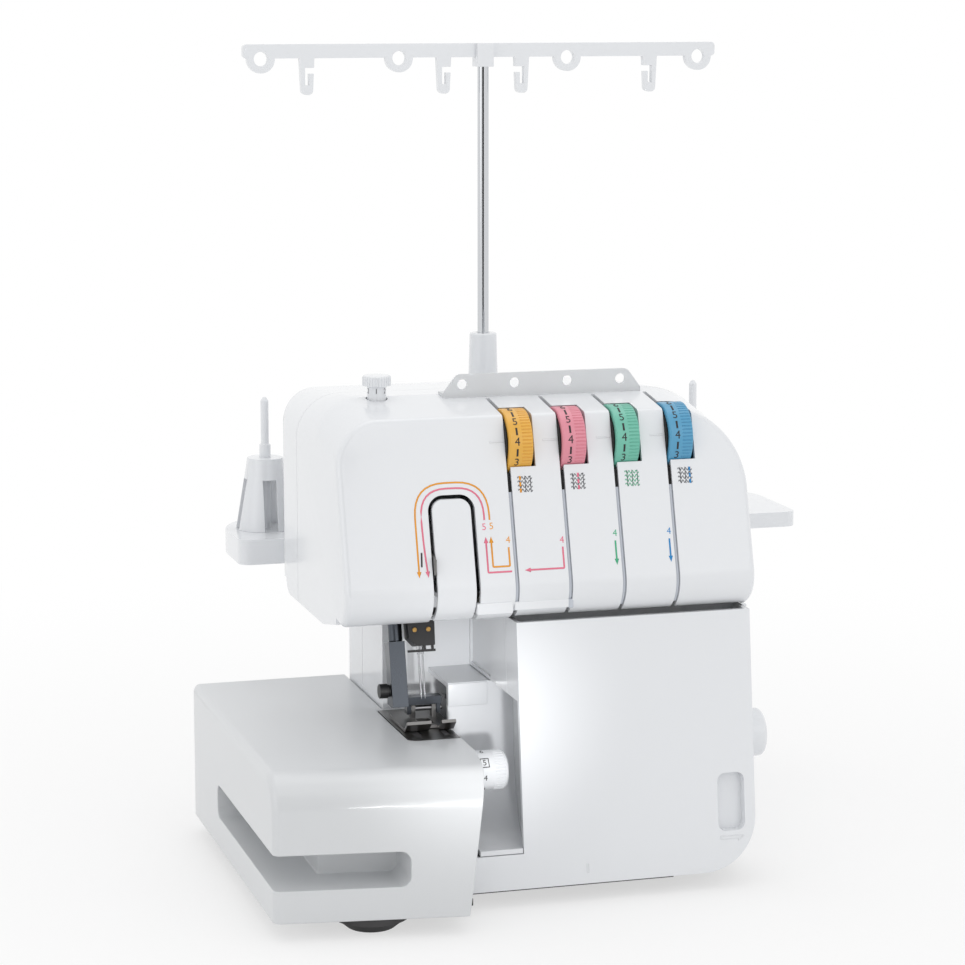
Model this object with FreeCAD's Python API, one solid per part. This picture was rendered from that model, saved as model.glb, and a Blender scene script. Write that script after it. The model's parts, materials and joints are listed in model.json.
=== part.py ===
"""Home overlock sewing machine: casings, free arm, drive, needle train, thread path and spool stand.

Millimetres. X runs to the operator's right, Y to the back and Z up. The origin lies on the surface
that the machine stands on, under the middle of its outline.
"""
import FreeCAD, Part
import math
import os

V = FreeCAD.Vector

# Outline of the whole machine
OVERALL_WIDTH = 335.0
OVERALL_DEPTH = 282.0

# Walls and clearances
WALL = 2.4
RUN = 0.05          # radial gap of a shaft in its bore
GAP = 0.3           # gap between a moving piece and a fixed one
SEAM = 0.8          # open seam between two casings
NEST = 0.6          # gap where a loose cover drops over a fixed part

# Base plate and feet
FOOT_HEIGHT = 5.0
FOOT_TOP_RADIUS = 17.0
FOOT_SOLE_RADIUS = 11.0
FOOT_STUD_RADIUS = 4.0
FOOT_PLACES = [(-118.0, -113.0), (-118.0, 42.0), (58.0, -48.0), (58.0, 46.0)]
BASE_THICKNESS = 3.4
BASE_TOP = FOOT_HEIGHT + BASE_THICKNESS
BASE_LEFT = -148.0
BASE_FRONT = -95.5
BASE_ARM_FRONT = -112.0
BASE_CORNER_X = 40.0     # the front right corner of the plate is cut away beyond this
BASE_CORNER_Y = -72.0
BASE_INSET = 4.4        # the plate stands back from the casings' outer faces
CASING_BOTTOM = BASE_TOP + GAP

# Bed: needle plate, free arm and extension table
BED_HEIGHT = 78.2
TABLE_LEFT = -OVERALL_WIDTH / 2
TABLE_FRONT = -OVERALL_DEPTH / 2
TABLE_RIGHT = -63.0
TABLE_BACK = 70.4
TABLE_SKEW = 0.1463     # the front face falls back towards the left
TABLE_DRAFT = 0.113     # the right side leans in towards its foot
TABLE_TURN_Y = -100.0   # in front of this the right side stands square to the front face
TABLE_FRONT_RADIUS = 18.0
TABLE_SIDE_RADIUS = 4.0
GRIP_LOW = 24.5
GRIP_HIGH = 41.3
GRIP_BACK_Y = 7.0
GRIP_RIGHT = -104.0
GRIP_DEPTH = 26.0
GRIP_RADIUS = 5.0
PLATE_LEFT = -88.7
PLATE_FRONT = -75.6
PLATE_BACK = -12.3
PLATE_THICKNESS = 2.0
PLATE_CORNER = 5.0
ARM_LEFT = -97.0
ARM_RIGHT = -64.6
ARM_FRONT = -97.0
ARM_BOTTOM = BED_HEIGHT - 34.2
ARM_TOP = BED_HEIGHT - WALL - NEST
FEED_ROWS = [(-84.0, -80.2), (-69.0, -66.4)]
MAIN_DOG_Y = (-43.0, -28.0)
DIFF_DOG_Y = (-68.0, -53.0)
FEED_STROKE = 3.0
FEED_BASE = 12.0
FEED_BASE_HEIGHT = 4.0
FEED_TOOTH = 1.5
RAIL_RIGHT = -78.0
RAIL_HEIGHT = 5.0
SCREW_PLACES = [(-84.0, -71.6), (-68.0, -71.6)]
PLATE_SCREW_RADIUS = 1.6
PLATE_SCREW_HEAD = 2.8

# Head
HEAD_LEFT = -124.5
HEAD_RIGHT = 81.6
HEAD_BOTTOM = BED_HEIGHT + 59.2
HEAD_TOP = HEAD_BOTTOM + 103.1
FACE_FOOT_Y = -99.6
FACE_LEAN = 0.29
FACE_FOOT_RADIUS = 16.0
FACE_RIM_RADIUS = 3.0   # rounding between the slanted face, the sides and the top
CREST_Y = -32.0
CREST_SLOPE = 0.15
BACK_DROP = 7.0
CORNER_TOP_LEFT = 22.0
CORNER_TOP_RIGHT = 38.0
CORNER_LOW_LEFT = 4.0
CORNER_BACK_LEFT = 26.0
SKIRT_DROP = 5.2        # the left wall reaches this far below the underside
SKIRT_FRONT = -74.0
SKIRT_BACK = 35.0
SKIRT_RADIUS = 9.0
HEAD_PARTING_Y = 8.0    # seam round the head
PARTING_Y = 34.0        # seam down the column
PARTING_GAP = 0.4
CASE_BACK = 62.0
LIFTER_SLOT = (HEAD_BOTTOM + 14.6, HEAD_BOTTOM + 68.6)
REAR_SCREWS = [(-76.0, 28.0), (72.0, 28.0), (-76.0, 96.0), (72.0, 96.0),
               (-76.0, HEAD_BOTTOM + 40.6), (70.0, HEAD_BOTTOM + 40.6)]
REAR_SCREW_RADIUS = 1.7
REAR_SCREW_HEAD = 3.6
REAR_SCREW_LENGTH = 12.0
VENT_ROWS = 6
VENT_LOW = 40.0
VENT_PITCH = 7.0
VENT_HEIGHT = 3.0
VENT_X = (-20.0, 40.0)
LAMP_X = (-56.0, -45.0)
LAMP_RIM = 2.0
LAMP_FRONT = 4.0        # the lamp reaches this far in front of the needles
LAMP_REAR = 20.0

# Column and tower under the head
COLUMN_LEFT = -85.0
COLUMN_FRONT = -8.0
TOE_RADIUS = 48.0        # rounding of the right wall's lower front corner, seen from the side
TOWER_LEFT = -39.5
RECESS_DEPTH = 1.2
TIE_FRONT = -69.0

# Front cover and its hinge
COVER_RIGHT = 80.0
COVER_FOOT_Y = -105.4
COVER_LEAN = 0.119
COVER_RETURN = 8.0
COVER_LEFT_RETURN = 20.0
COVER_CORNER = 27.0
COVER_LIP_LEFT = -66.0
COVER_TOP = HEAD_BOTTOM - SEAM
HINGE_Y = -98.6
HINGE_Z = 12.5
HINGE_ROD_RADIUS = 2.0
KNUCKLE_RADIUS = 3.6
KNUCKLES = [(-64.0, -58.6), (-36.0, -30.0), (14.0, 22.0), (42.0, 50.0)]
EARS = [(-50.0, -45.0), (32.0, 37.0)]
EAR_DEPTH = 6.0
FINGER_LEFT = 60.5
FINGER_RIGHT = 74.5
FINGER_LOW = 28.5
FINGER_HIGH = 57.0
FINGER_DEPTH = 5.2

# Looper guard with its waste chute
GUARD_LEFT = -61.2
GUARD_FOOT = 28.4
GUARD_FRONT = -45.0
GUARD_TOP = BED_HEIGHT + 19.8
GUARD_SHELF_LOW = BED_HEIGHT + 8.8
CHUTE_RIGHT_FRONT = -39.9
CHUTE_RIGHT_BACK = -27.5

# Frame casting
FRAME_LEFT = -34.0
FRAME_RIGHT = 69.0
FRAME_WALL = 7.0
FRAME_FRONT = -20.0
FRAME_BACK = 28.0
FRAME_TOP = HEAD_TOP - 35.5
FRAME_BED_TOP = BASE_TOP + 5.6
NOSE_LEFT = -102.0
NOSE_RIGHT = -62.0
NOSE_WALL_LEFT = -80.0
NOSE_WALL_FRONT = 2.0
NOSE_WALL_BACK = 14.0
NOSE_WALL_LOW = HEAD_BOTTOM + 8.6
NOSE_WALL_HIGH = HEAD_BOTTOM + 78.6

# Drive
SHAFT_Y = 6.0
SHAFT_Z = 72.0
SHAFT_RADIUS = 5.0
BUSH_RADIUS = 8.0
PULLEY_RADIUS = 28.0
PULLEY_LEFT = 48.0
PULLEY_WIDTH = 9.0
FLANGE = 1.0
MOTOR_Y = -32.0
MOTOR_Z = 36.0
MOTOR_RADIUS = 20.0
MOTOR_LEFT = -12.0
MOTOR_LENGTH = 56.0
MOTOR_SHAFT_RADIUS = 2.5
MOTOR_PULLEY_RADIUS = 7.0
BELT_THICKNESS = 2.0
WHEEL_RADIUS = 31.0
WHEEL_WIDTH = 19.0

# Needle and presser train, leaning back by the same angle
TILT = 14.0
NEEDLE_X = -73.4
NEEDLE_Y = -47.0
PRESSER_X = -84.6
PRESSER_BEHIND = 4.0
NEEDLE_BAR_RADIUS = 3.2
NEEDLE_BUSH_RADIUS = 5.5
NEEDLE_TIP = 13.0
NEEDLE_SPREAD = 1.9
CLAMP_LOW = 39.0
CLAMP_HEIGHT = 14.0
CLAMP_WIDTH = 14.0
NEEDLE_BAR_TOP = 146.0
PRESSER_RADIUS = 3.5
PRESSER_TOP = 146.0
ANKLE_TOP = 42.0
ANKLE_FOOT = 9.5
ANKLE_RIGHT = -63.0
ANKLE_LUGS = [-80.5, -65.5]
ANKLE_SCREW_HEIGHT = 18.0
ANKLE_SCREW_RADIUS = 3.6
ANKLE_BEAM = (8.6, 12.6)
NOSE_LOW = 90.0         # lower nose bracket, above the bed along the bars
NOSE_HIGH = 128.0
NOSE_THICKNESS = 10.0
GUIDE_LOW = 106.0
GUIDE_HEIGHT = 8.0
GUIDE_LUG = 46.0
FOOT_GAP = 0.3
SOLE_THICKNESS = 1.5
FOOT_PIN_Y = -37.0
FOOT_PIN_Z = 6.3
FOOT_PIN_RADIUS = 1.4
HEEL_ANGLE = 6.5
FOOT_LEFT = -87.0
FOOT_RIGHT = -62.2
FOOT_FRONT = -64.0
FOOT_BACK = -27.0
FOOT_EARS = [-78.2, -67.8]
TOE_RISE = 4.5

# Presser lifter
LIFTER_X = -90.0
LIFTER_WIDTH = 7.0
LIFTER_Y = 6.0
LIFTER_Z = HEAD_BOTTOM + 29.0
LIFTER_PIN_RADIUS = 2.5
LIFTER_END_Y = 94.0

# Loopers and knives
LOOPER_BRACKET_FRONT = -33.0
LOOPER_BRACKET_BACK = -27.0
LOWER_PIVOT = (-48.0, BED_HEIGHT - 50.2)
UPPER_PIVOT = (-38.0, BED_HEIGHT - 26.2)
LOWER_LOOPER_Y = (-42.0, -38.5)
UPPER_LOOPER_Y = (-37.5, -34.0)
LOOPER_PIN_RADIUS = 3.0
LOOPER_HUB_RADIUS = 6.0
KNIFE_FRONT = -60.0
KNIFE_BACK = -50.0
KNIFE_THICKNESS = 1.2

# Tension units
DIAL_CENTRES = [-34.2, -7.4, 19.8, 47.2]
DIAL_Y = -64.4
DIAL_Z = HEAD_TOP - 20.3
DIAL_RADIUS = 16.5
DIAL_WIDTH = 12.0
DIAL_RIBS = 60
DIAL_RIB_RADIUS = 0.35
DIAL_ROOM = 0.6         # window edge round the dial
DIAL_ROOM_RIGHT = 1.8
TENSION_SHAFT_RADIUS = 2.5
TENSION_LEFT = -57.5
TENSION_RIGHT = 69.0
TENSION_EARS = [-54.0, -22.0, 5.5, 33.0, 60.0]
TENSION_EAR_WIDTH = 3.0
DISC_RADIUS = 14.0
DISC_THICKNESS = 0.3
DISC_OFFSETS = [-6.75, -6.35]
SLOT_OFFSET = -5.9      # thread slot to the left of each dial's middle
SLOT_WIDTH = 2.0
GUIDE_Y = -39.5
GUIDE_LEFT = -61.8
GUIDE_RIGHT = 40.0
GUIDE_PLATE_HEIGHT = 11.5
GUIDE_PLATE_THICKNESS = 1.4
GUIDE_HOLE_RADIUS = 2.5
GUIDE_HOLE_SHIFT = -17.8
GUIDE_TREAD = 9.0

# Take-up cover and lever
TONGUE_LEFT = -81.6
TONGUE_RIGHT = -58.4
TONGUE_TOP = HEAD_BOTTOM + 61.6
TONGUE_GAP = 2.0
TONGUE_CORNER = 7.5
TAKE_UP_Y = -62.0
TAKE_UP_Z = HEAD_BOTTOM + 44.6
TAKE_UP_THICKNESS = 1.2
TAKE_UP_PIN_RADIUS = 2.5

# Knobs
PRESSURE_X = -94.0
PRESSURE_Y = -35.0
PRESSURE_CAP_RADIUS = 7.0
PRESSURE_STEM_RADIUS = 4.6
PRESSURE_RISE = 11.0
PRESSURE_CAP_HEIGHT = 5.0
PRESSURE_STEM_DROP = 12.0
PRESSURE_SCREW_RADIUS = 3.0
KNOB_SEAT_LOW = HEAD_TOP - 35.5
KNOB_SEAT_HEIGHT = 10.0
WIDTH_DIAL_Y = -88.0
WIDTH_DIAL_Z = BED_HEIGHT - 13.7
WIDTH_DIAL_RADIUS = 9.6
WIDTH_DIAL_LEFT = -62.0
WIDTH_DIAL_RIGHT = -44.8
LENGTH_DIAL_Y = -75.0
LENGTH_DIAL_Z = BED_HEIGHT - 8.2
LENGTH_DIAL_RADIUS = 12.0
LENGTH_DIAL_WIDTH = 10.5
DIFF_LEVER_Y = -30.0
DIFF_LEVER_Z = 32.0
KNOB_SHAFT_RADIUS = 3.0
KNOB_BOSS_RADIUS = 6.0
INLET_Y = (9.0, 29.0)
INLET_Z = (17.0, 33.0)
SWITCH_Y = -7.0
SWITCH_Z = 25.0
SWITCH_LENGTH = 14.0
SWITCH_HEIGHT = 12.0
SWITCH_PIN_RADIUS = 1.5

# Spool stand, mast and thread tree
STAND_LEFT = -142.6
STAND_RIGHT = OVERALL_WIDTH / 2
STAND_FRONT = 63.0
STAND_BACK = OVERALL_DEPTH / 2
STAND_TOP = HEAD_BOTTOM + 17.0
STAND_THICKNESS = 8.2
STAND_LEFT_THICKNESS = 13.2   # the left end is a deeper tray
STAND_STEP_X = -84.0
STAND_CORNER = 26.0
STAND_CORNER_LEFT = 44.0
STAND_FRONT_CORNER = 6.0
STAND_FLANGE = 70.0
STAND_FLANGE_DROP = 30.0
STAND_WEBS = [-68.0, -20.0, 20.0, 68.0]
STAND_WEB_DROP = 14.0
SPOOL_Y = 102.0
SPOOL_PLACES = [-120.5, -46.0, 46.0, 120.5]
PIN_RADIUS = 2.1
PIN_COLLAR_RADIUS = 3.0
PIN_TOP = STAND_TOP + 69.2
PIN_COLLAR_RISE = 7.0
CONE_HEIGHT = 38.0
CONE_WALL = 2.0
CONE_WINDOW = 7.2
CONE_FOOT_RADIUS = 15.8
CONE_TOP_RADIUS = 9.5
SEAT_RADIUS = 29.0
SEAT_DEPTH = 1.0
SOCKET_TOP = STAND_TOP + 99.6
SOCKET_TOP_RADIUS = 7.25
SOCKET_FOOT_RADIUS = 10.0
SOCKET_TAIL_RADIUS = 6.5
SOCKET_BOTTOM = STAND_TOP - 48.4
MAST_RADIUS = 3.0
MAST_FOOT = SOCKET_TOP - 30.0
TREE_TOP = 408.0
TREE_HEIGHT = 7.3
TREE_HALF = 130.0
TREE_THICKNESS = 4.0
EYELET_PLACES = [-120.5, -46.4, 46.4, 120.5]
EYELET_RADIUS = 3.75
EYELET_RIM = 7.4
HOOK_PLACES = [-96.0, -22.0, 21.0, 93.0]
HOOK_DROP = 19.0
HOOK_WIDTH = 8.0

PARTS = {}


def box(x0, x1, y0, y1, z0, z1):
    return Part.makeBox(x1 - x0, y1 - y0, z1 - z0, V(x0, y0, z0))


def rod(axis, radius, start, end, a, b):
    """Cylinder along an axis from start to end; a and b are its other two coordinates in order."""
    base, direction = {
        "x": (V(start, a, b), V(1, 0, 0)),
        "y": (V(a, start, b), V(0, 1, 0)),
        "z": (V(a, b, start), V(0, 0, 1)),
    }[axis]
    return Part.makeCylinder(radius, end - start, base, direction)


def cone_z(low_radius, top_radius, z0, z1, x, y):
    return Part.makeCone(low_radius, top_radius, z1 - z0, V(x, y, z0), V(0, 0, 1))


def fuse(shapes):
    return shapes[0].multiFuse(shapes[1:]).removeSplitter()


def unit(u, v):
    length = math.hypot(u, v)
    return u / length, v / length


def rounded_wire(points, place):
    """Closed outline through (u, v, corner radius) points, set in space by place(u, v)."""
    count = len(points)
    corners = []
    for index, (u, v, radius) in enumerate(points):
        if radius <= 0:
            corners.append(((u, v), None, (u, v)))
            continue
        before = points[index - 1]
        after = points[(index + 1) % count]
        a = unit(before[0] - u, before[1] - v)
        b = unit(after[0] - u, after[1] - v)
        half = math.acos(a[0] * b[0] + a[1] * b[1]) / 2
        run = radius / math.tan(half)
        middle = unit(a[0] + b[0], a[1] + b[1])
        reach = radius / math.sin(half) - radius
        corners.append((
            (u + a[0] * run, v + a[1] * run),
            (u + middle[0] * reach, v + middle[1] * reach),
            (u + b[0] * run, v + b[1] * run),
        ))
    edges = []
    for index, (entry, middle, leave) in enumerate(corners):
        last = corners[index - 1][2]
        if math.hypot(entry[0] - last[0], entry[1] - last[1]) > 1e-6:
            edges.append(Part.makeLine(place(*last), place(*entry)))
        if middle:
            edges.append(Part.Arc(place(*entry), place(*middle), place(*leave)).toShape())
    return Part.Wire(edges)


def prism(points, plane, start, end):
    """Rounded outline in one plane, extruded along the third axis from start to end."""
    place, push = {
        "xy": (lambda u, v: V(u, v, start), V(0, 0, end - start)),
        "xz": (lambda u, v: V(u, start, v), V(0, end - start, 0)),
        "yz": (lambda u, v: V(start, u, v), V(end - start, 0, 0)),
    }[plane]
    return Part.Face(rounded_wire(points, place)).extrude(push)


def sharp(points):
    return [(u, v, 0) for u, v in points]


def tilt(shape):
    """Leans a piece of the needle and presser train back about its point on the bed."""
    leaning = shape.copy()
    leaning.rotate(V(0, NEEDLE_Y, BED_HEIGHT), V(1, 0, 0), -TILT)
    return leaning


def bar_z(height):
    return BED_HEIGHT + height


def face_y(z):
    return FACE_FOOT_Y + FACE_LEAN * (z - HEAD_BOTTOM)


def cover_y(z):
    return COVER_FOOT_Y + COVER_LEAN * (z - CASING_BOTTOM)


def table_front_y(x):
    return TABLE_FRONT + TABLE_SKEW * (TABLE_RIGHT - x)


def behind_cover(depth, x0, x1, z0, z1):
    """Everything in front of a plane that lies behind the cover's face by depth."""
    far = COVER_FOOT_Y - 60
    return prism(sharp([(far, z0), (cover_y(z0) + depth, z0), (cover_y(z1) + depth, z1), (far, z1)]),
                 "yz", x0, x1)


def make_base():
    back = CASE_BACK - BASE_INSET
    left = box(BASE_LEFT, FRAME_LEFT, BASE_ARM_FRONT, back, FOOT_HEIGHT, BASE_TOP)
    right = box(FRAME_LEFT - 1, HEAD_RIGHT - BASE_INSET, BASE_FRONT, back, FOOT_HEIGHT, BASE_TOP)
    corner = box(COVER_LIP_LEFT - 1.5, FRAME_LEFT, BASE_ARM_FRONT - 1, BASE_FRONT, FOOT_HEIGHT - 1,
                 BASE_TOP + 1)
    right_corner = box(BASE_CORNER_X, HEAD_RIGHT, BASE_FRONT - 1, BASE_CORNER_Y, FOOT_HEIGHT - 1,
                       BASE_TOP + 1)
    plate = fuse([left.cut(corner), right.cut(right_corner)])
    pads = [rod("z", FOOT_TOP_RADIUS + 1, FOOT_HEIGHT, BASE_TOP, x, y) for x, y in FOOT_PLACES[:2]]
    plate = fuse([plate] + pads)
    ears = []
    for x0, x1 in EARS:
        ears.append(rod("x", KNUCKLE_RADIUS, x0, x1, HINGE_Y, HINGE_Z))
        ears.append(box(x0, x1, HINGE_Y, BASE_FRONT + EAR_DEPTH, HINGE_Z - 2, HINGE_Z + KNUCKLE_RADIUS))
        ears.append(box(x0, x1, BASE_FRONT, BASE_FRONT + EAR_DEPTH, BASE_TOP - 1, HINGE_Z))
    plate = fuse([plate] + ears)
    bores = [rod("x", HINGE_ROD_RADIUS + RUN, x0 - 1, x1 + 1, HINGE_Y, HINGE_Z) for x0, x1 in EARS]
    bores += [rod("z", FOOT_STUD_RADIUS, FOOT_HEIGHT - 1, BASE_TOP + 1, x, y) for x, y in FOOT_PLACES]
    PARTS["base_plate"] = plate.cut(Part.makeCompound(bores))
    feet = []
    for x, y in FOOT_PLACES:
        dome = cone_z(FOOT_SOLE_RADIUS, FOOT_TOP_RADIUS, 0, FOOT_HEIGHT, x, y)
        feet.append(dome.fuse(rod("z", FOOT_STUD_RADIUS, FOOT_HEIGHT, BASE_TOP, x, y)).removeSplitter())
    PARTS["rubber_feet"] = Part.makeCompound(feet)


def table_block(inset):
    """The table's outer form, or the same form drawn in by a wall."""
    front = table_front_y(TABLE_LEFT)
    width = TABLE_RIGHT - TABLE_LEFT + 10
    profile = [
        (front + inset, CASING_BOTTOM - inset, 0),
        (front + inset, BED_HEIGHT - inset, TABLE_FRONT_RADIUS - inset),
        (TABLE_BACK + 60, BED_HEIGHT - inset, 0),
        (TABLE_BACK + 60, CASING_BOTTOM - inset, 0),
    ]
    wire = rounded_wire(profile, lambda u, v: V(TABLE_LEFT, u, v))
    sheared = Part.Face(wire).extrude(V(width, -TABLE_SKEW * width, 0))
    right = COLUMN_LEFT - NEST
    plan = [
        (TABLE_LEFT + inset, TABLE_FRONT - 20),
        (TABLE_RIGHT + 9, TABLE_FRONT - 20),
        (TABLE_RIGHT + 9, COLUMN_FRONT - NEST + 2 * inset),
        (right - inset, COLUMN_FRONT - NEST + 2 * inset),
        (right - inset, TABLE_BACK - inset),
        (TABLE_LEFT + inset, TABLE_BACK - inset),
    ]
    return sheared.common(prism(sharp(plan), "xy", CASING_BOTTOM - inset, BED_HEIGHT))


def table_right_side(inset):
    """Everything to the right of the table's leaning right side."""
    top = BED_HEIGHT + 2
    low = CASING_BOTTOM - 4
    side = sharp([
        (TABLE_RIGHT - inset - TABLE_DRAFT * (BED_HEIGHT - low), low),
        (TABLE_RIGHT - inset + TABLE_DRAFT * 2, top),
        (TABLE_RIGHT + 30, top),
        (TABLE_RIGHT + 30, low),
    ])
    straight = prism(side, "xz", TABLE_TURN_Y, COLUMN_FRONT + 5)
    reach = TABLE_TURN_Y - TABLE_FRONT + 30
    turned = Part.Face(rounded_wire(side, lambda u, v: V(u, TABLE_TURN_Y, v)))
    return straight.fuse(turned.extrude(V(-TABLE_SKEW * reach, -reach, 0)))


def grip_pocket(grow):
    """Hand grip that wraps round the front left corner of the table."""
    left = TABLE_LEFT - 6
    inner = TABLE_LEFT + GRIP_DEPTH + grow
    end = GRIP_RIGHT + grow
    plan = sharp([
        (left, GRIP_BACK_Y + grow),
        (left, table_front_y(left) - 6),
        (end, table_front_y(end) - 6),
        (end, table_front_y(end) + GRIP_DEPTH + grow),
        (inner, table_front_y(inner) + GRIP_DEPTH + grow),
        (inner, GRIP_BACK_Y + grow),
    ])
    pocket = prism(plan, "xy", GRIP_LOW - grow, GRIP_HIGH + grow)
    back = GRIP_BACK_Y + grow

    def at_end(edge):
        frame_box = edge.BoundBox
        level = abs(frame_box.ZLength) < 1e-6
        at_right = abs(frame_box.XMin - end) + abs(frame_box.XMax - end) < 1e-6
        at_back = abs(frame_box.YMin - back) + abs(frame_box.YMax - back) < 1e-6
        return level and (at_right or at_back)

    ends = [edge for edge in pocket.Edges if at_end(edge)]
    return pocket.makeFillet(GRIP_RADIUS, ends)


def make_table():
    outer = table_block(0).cut(table_right_side(0))
    side_edges = [e for e in outer.Edges
                  if e.BoundBox.XMax < TABLE_LEFT + 1e-3 and e.BoundBox.ZMax > CASING_BOTTOM + 1]
    outer = outer.makeFillet(TABLE_SIDE_RADIUS, side_edges)
    hollow = table_block(WALL).cut(table_right_side(WALL).common(
        box(TABLE_LEFT, TABLE_RIGHT + 40, TABLE_FRONT - 60, ARM_FRONT - 7, 0, BED_HEIGHT + 5)))
    ribs = [
        box(TABLE_LEFT, ARM_LEFT + 20, ARM_FRONT - 6, ARM_FRONT - 6 + WALL, CASING_BOTTOM, BED_HEIGHT - 1),
        box(TABLE_LEFT, COLUMN_LEFT - NEST - 1, FOOT_PLACES[1][1], FOOT_PLACES[1][1] + WALL,
            CASING_BOTTOM, BED_HEIGHT - 1),
    ]
    hollow = hollow.cut(grip_pocket(WALL)).cut(Part.makeCompound(ribs))
    notch = prism([
        (PLATE_LEFT - GAP, PLATE_FRONT - GAP, PLATE_CORNER),
        (TABLE_RIGHT + 20, PLATE_FRONT - GAP, 0),
        (TABLE_RIGHT + 20, PLATE_BACK + GAP, 0),
        (PLATE_LEFT - GAP, PLATE_BACK + GAP, 1),
    ], "xy", ARM_TOP - 6, BED_HEIGHT + 1)
    PARTS["extension_table"] = outer.cut(hollow).cut(grip_pocket(0)).cut(notch)


def make_free_arm():
    shell = box(ARM_LEFT, ARM_RIGHT, ARM_FRONT, COLUMN_FRONT, ARM_BOTTOM, ARM_TOP)
    hollow = box(ARM_LEFT + WALL, ARM_RIGHT + 5, ARM_FRONT + WALL, COLUMN_FRONT - WALL,
                 ARM_BOTTOM + WALL, ARM_TOP - WALL)
    seat = prism([
        (PLATE_LEFT + GAP, PLATE_FRONT + GAP, PLATE_CORNER),
        (ARM_RIGHT, PLATE_FRONT + GAP, 0),
        (ARM_RIGHT, PLATE_BACK - GAP, 0),
        (PLATE_LEFT + GAP, PLATE_BACK - GAP, 1),
    ], "xy", ARM_TOP - 1, BED_HEIGHT - PLATE_THICKNESS)
    rail = box(ARM_LEFT + 1, RAIL_RIGHT, DIFF_DOG_Y[0] - 4, MAIN_DOG_Y[1] + 4,
               BED_HEIGHT - FEED_BASE - GAP - RAIL_HEIGHT, BED_HEIGHT - FEED_BASE - GAP)
    boss = box(ARM_RIGHT - 15, ARM_RIGHT, ARM_FRONT + 1, ARM_FRONT + 18, WIDTH_DIAL_Z - 9, ARM_TOP - 1)
    arm = fuse([shell.cut(hollow), seat, rail, boss])
    well = box(FEED_ROWS[0][0] - 1.5, ARM_RIGHT + 1, DIFF_DOG_Y[0] - FEED_STROKE,
               MAIN_DOG_Y[1] + FEED_STROKE, ARM_TOP - WALL - 0.5, BED_HEIGHT)
    bore = rod("x", KNOB_SHAFT_RADIUS + RUN, ARM_RIGHT - 13, ARM_RIGHT + 1, WIDTH_DIAL_Y, WIDTH_DIAL_Z)
    holes = [rod("z", PLATE_SCREW_RADIUS, ARM_TOP - 5, BED_HEIGHT, x, y) for x, y in SCREW_PLACES]
    PARTS["free_arm"] = arm.cut(Part.makeCompound([well, bore] + holes))


def make_needle_plate():
    low = BED_HEIGHT - PLATE_THICKNESS
    right = TABLE_RIGHT - GAP
    plate = prism([
        (PLATE_LEFT, PLATE_FRONT, PLATE_CORNER),
        (right, PLATE_FRONT, 0),
        (right, PLATE_BACK, 0),
        (PLATE_LEFT, PLATE_BACK, 1),
    ], "xy", low, BED_HEIGHT)
    cuts = []
    for y0, y1 in (MAIN_DOG_Y, DIFF_DOG_Y):
        for x0, x1 in FEED_ROWS:
            cuts.append(box(x0 - GAP, x1 + GAP, y0 - GAP, y1 + FEED_STROKE + GAP, low - 1, BED_HEIGHT + 1))
    cuts.append(box(NEEDLE_X - 4, NEEDLE_X + 4, NEEDLE_Y - 4.5, NEEDLE_Y + 1.5, low - 1, BED_HEIGHT + 1))
    cuts.append(box(right - KNIFE_THICKNESS - GAP, right + 1, KNIFE_FRONT - GAP, KNIFE_BACK + GAP,
                    low - 1, BED_HEIGHT + 1))
    for x, y in SCREW_PLACES:
        cuts.append(rod("z", PLATE_SCREW_RADIUS, low - 1, BED_HEIGHT + 1, x, y))
        cuts.append(cone_z(PLATE_SCREW_RADIUS, PLATE_SCREW_HEAD, low + 0.4, BED_HEIGHT, x, y))
    PARTS["needle_plate"] = plate.cut(Part.makeCompound(cuts))
    for name, (y0, y1) in (("main_feed_dog", MAIN_DOG_Y), ("differential_feed_dog", DIFF_DOG_Y)):
        base = box(FEED_ROWS[0][0], FEED_ROWS[1][1], y0, y1,
                   BED_HEIGHT - FEED_BASE, BED_HEIGHT - FEED_BASE + FEED_BASE_HEIGHT)
        pieces = [base]
        for x0, x1 in FEED_ROWS:
            pieces.append(box(x0, x1, y0, y1, BED_HEIGHT - FEED_BASE, BED_HEIGHT - 0.9))
            for tooth in range(int((y1 - y0) / FEED_TOOTH)):
                start = y0 + tooth * FEED_TOOTH
                pieces.append(prism(sharp([(start, BED_HEIGHT - 1), (start + FEED_TOOTH, BED_HEIGHT - 1),
                                           (start + FEED_TOOTH, BED_HEIGHT - 0.1)]), "yz", x0, x1))
        PARTS[name] = fuse(pieces)


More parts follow.
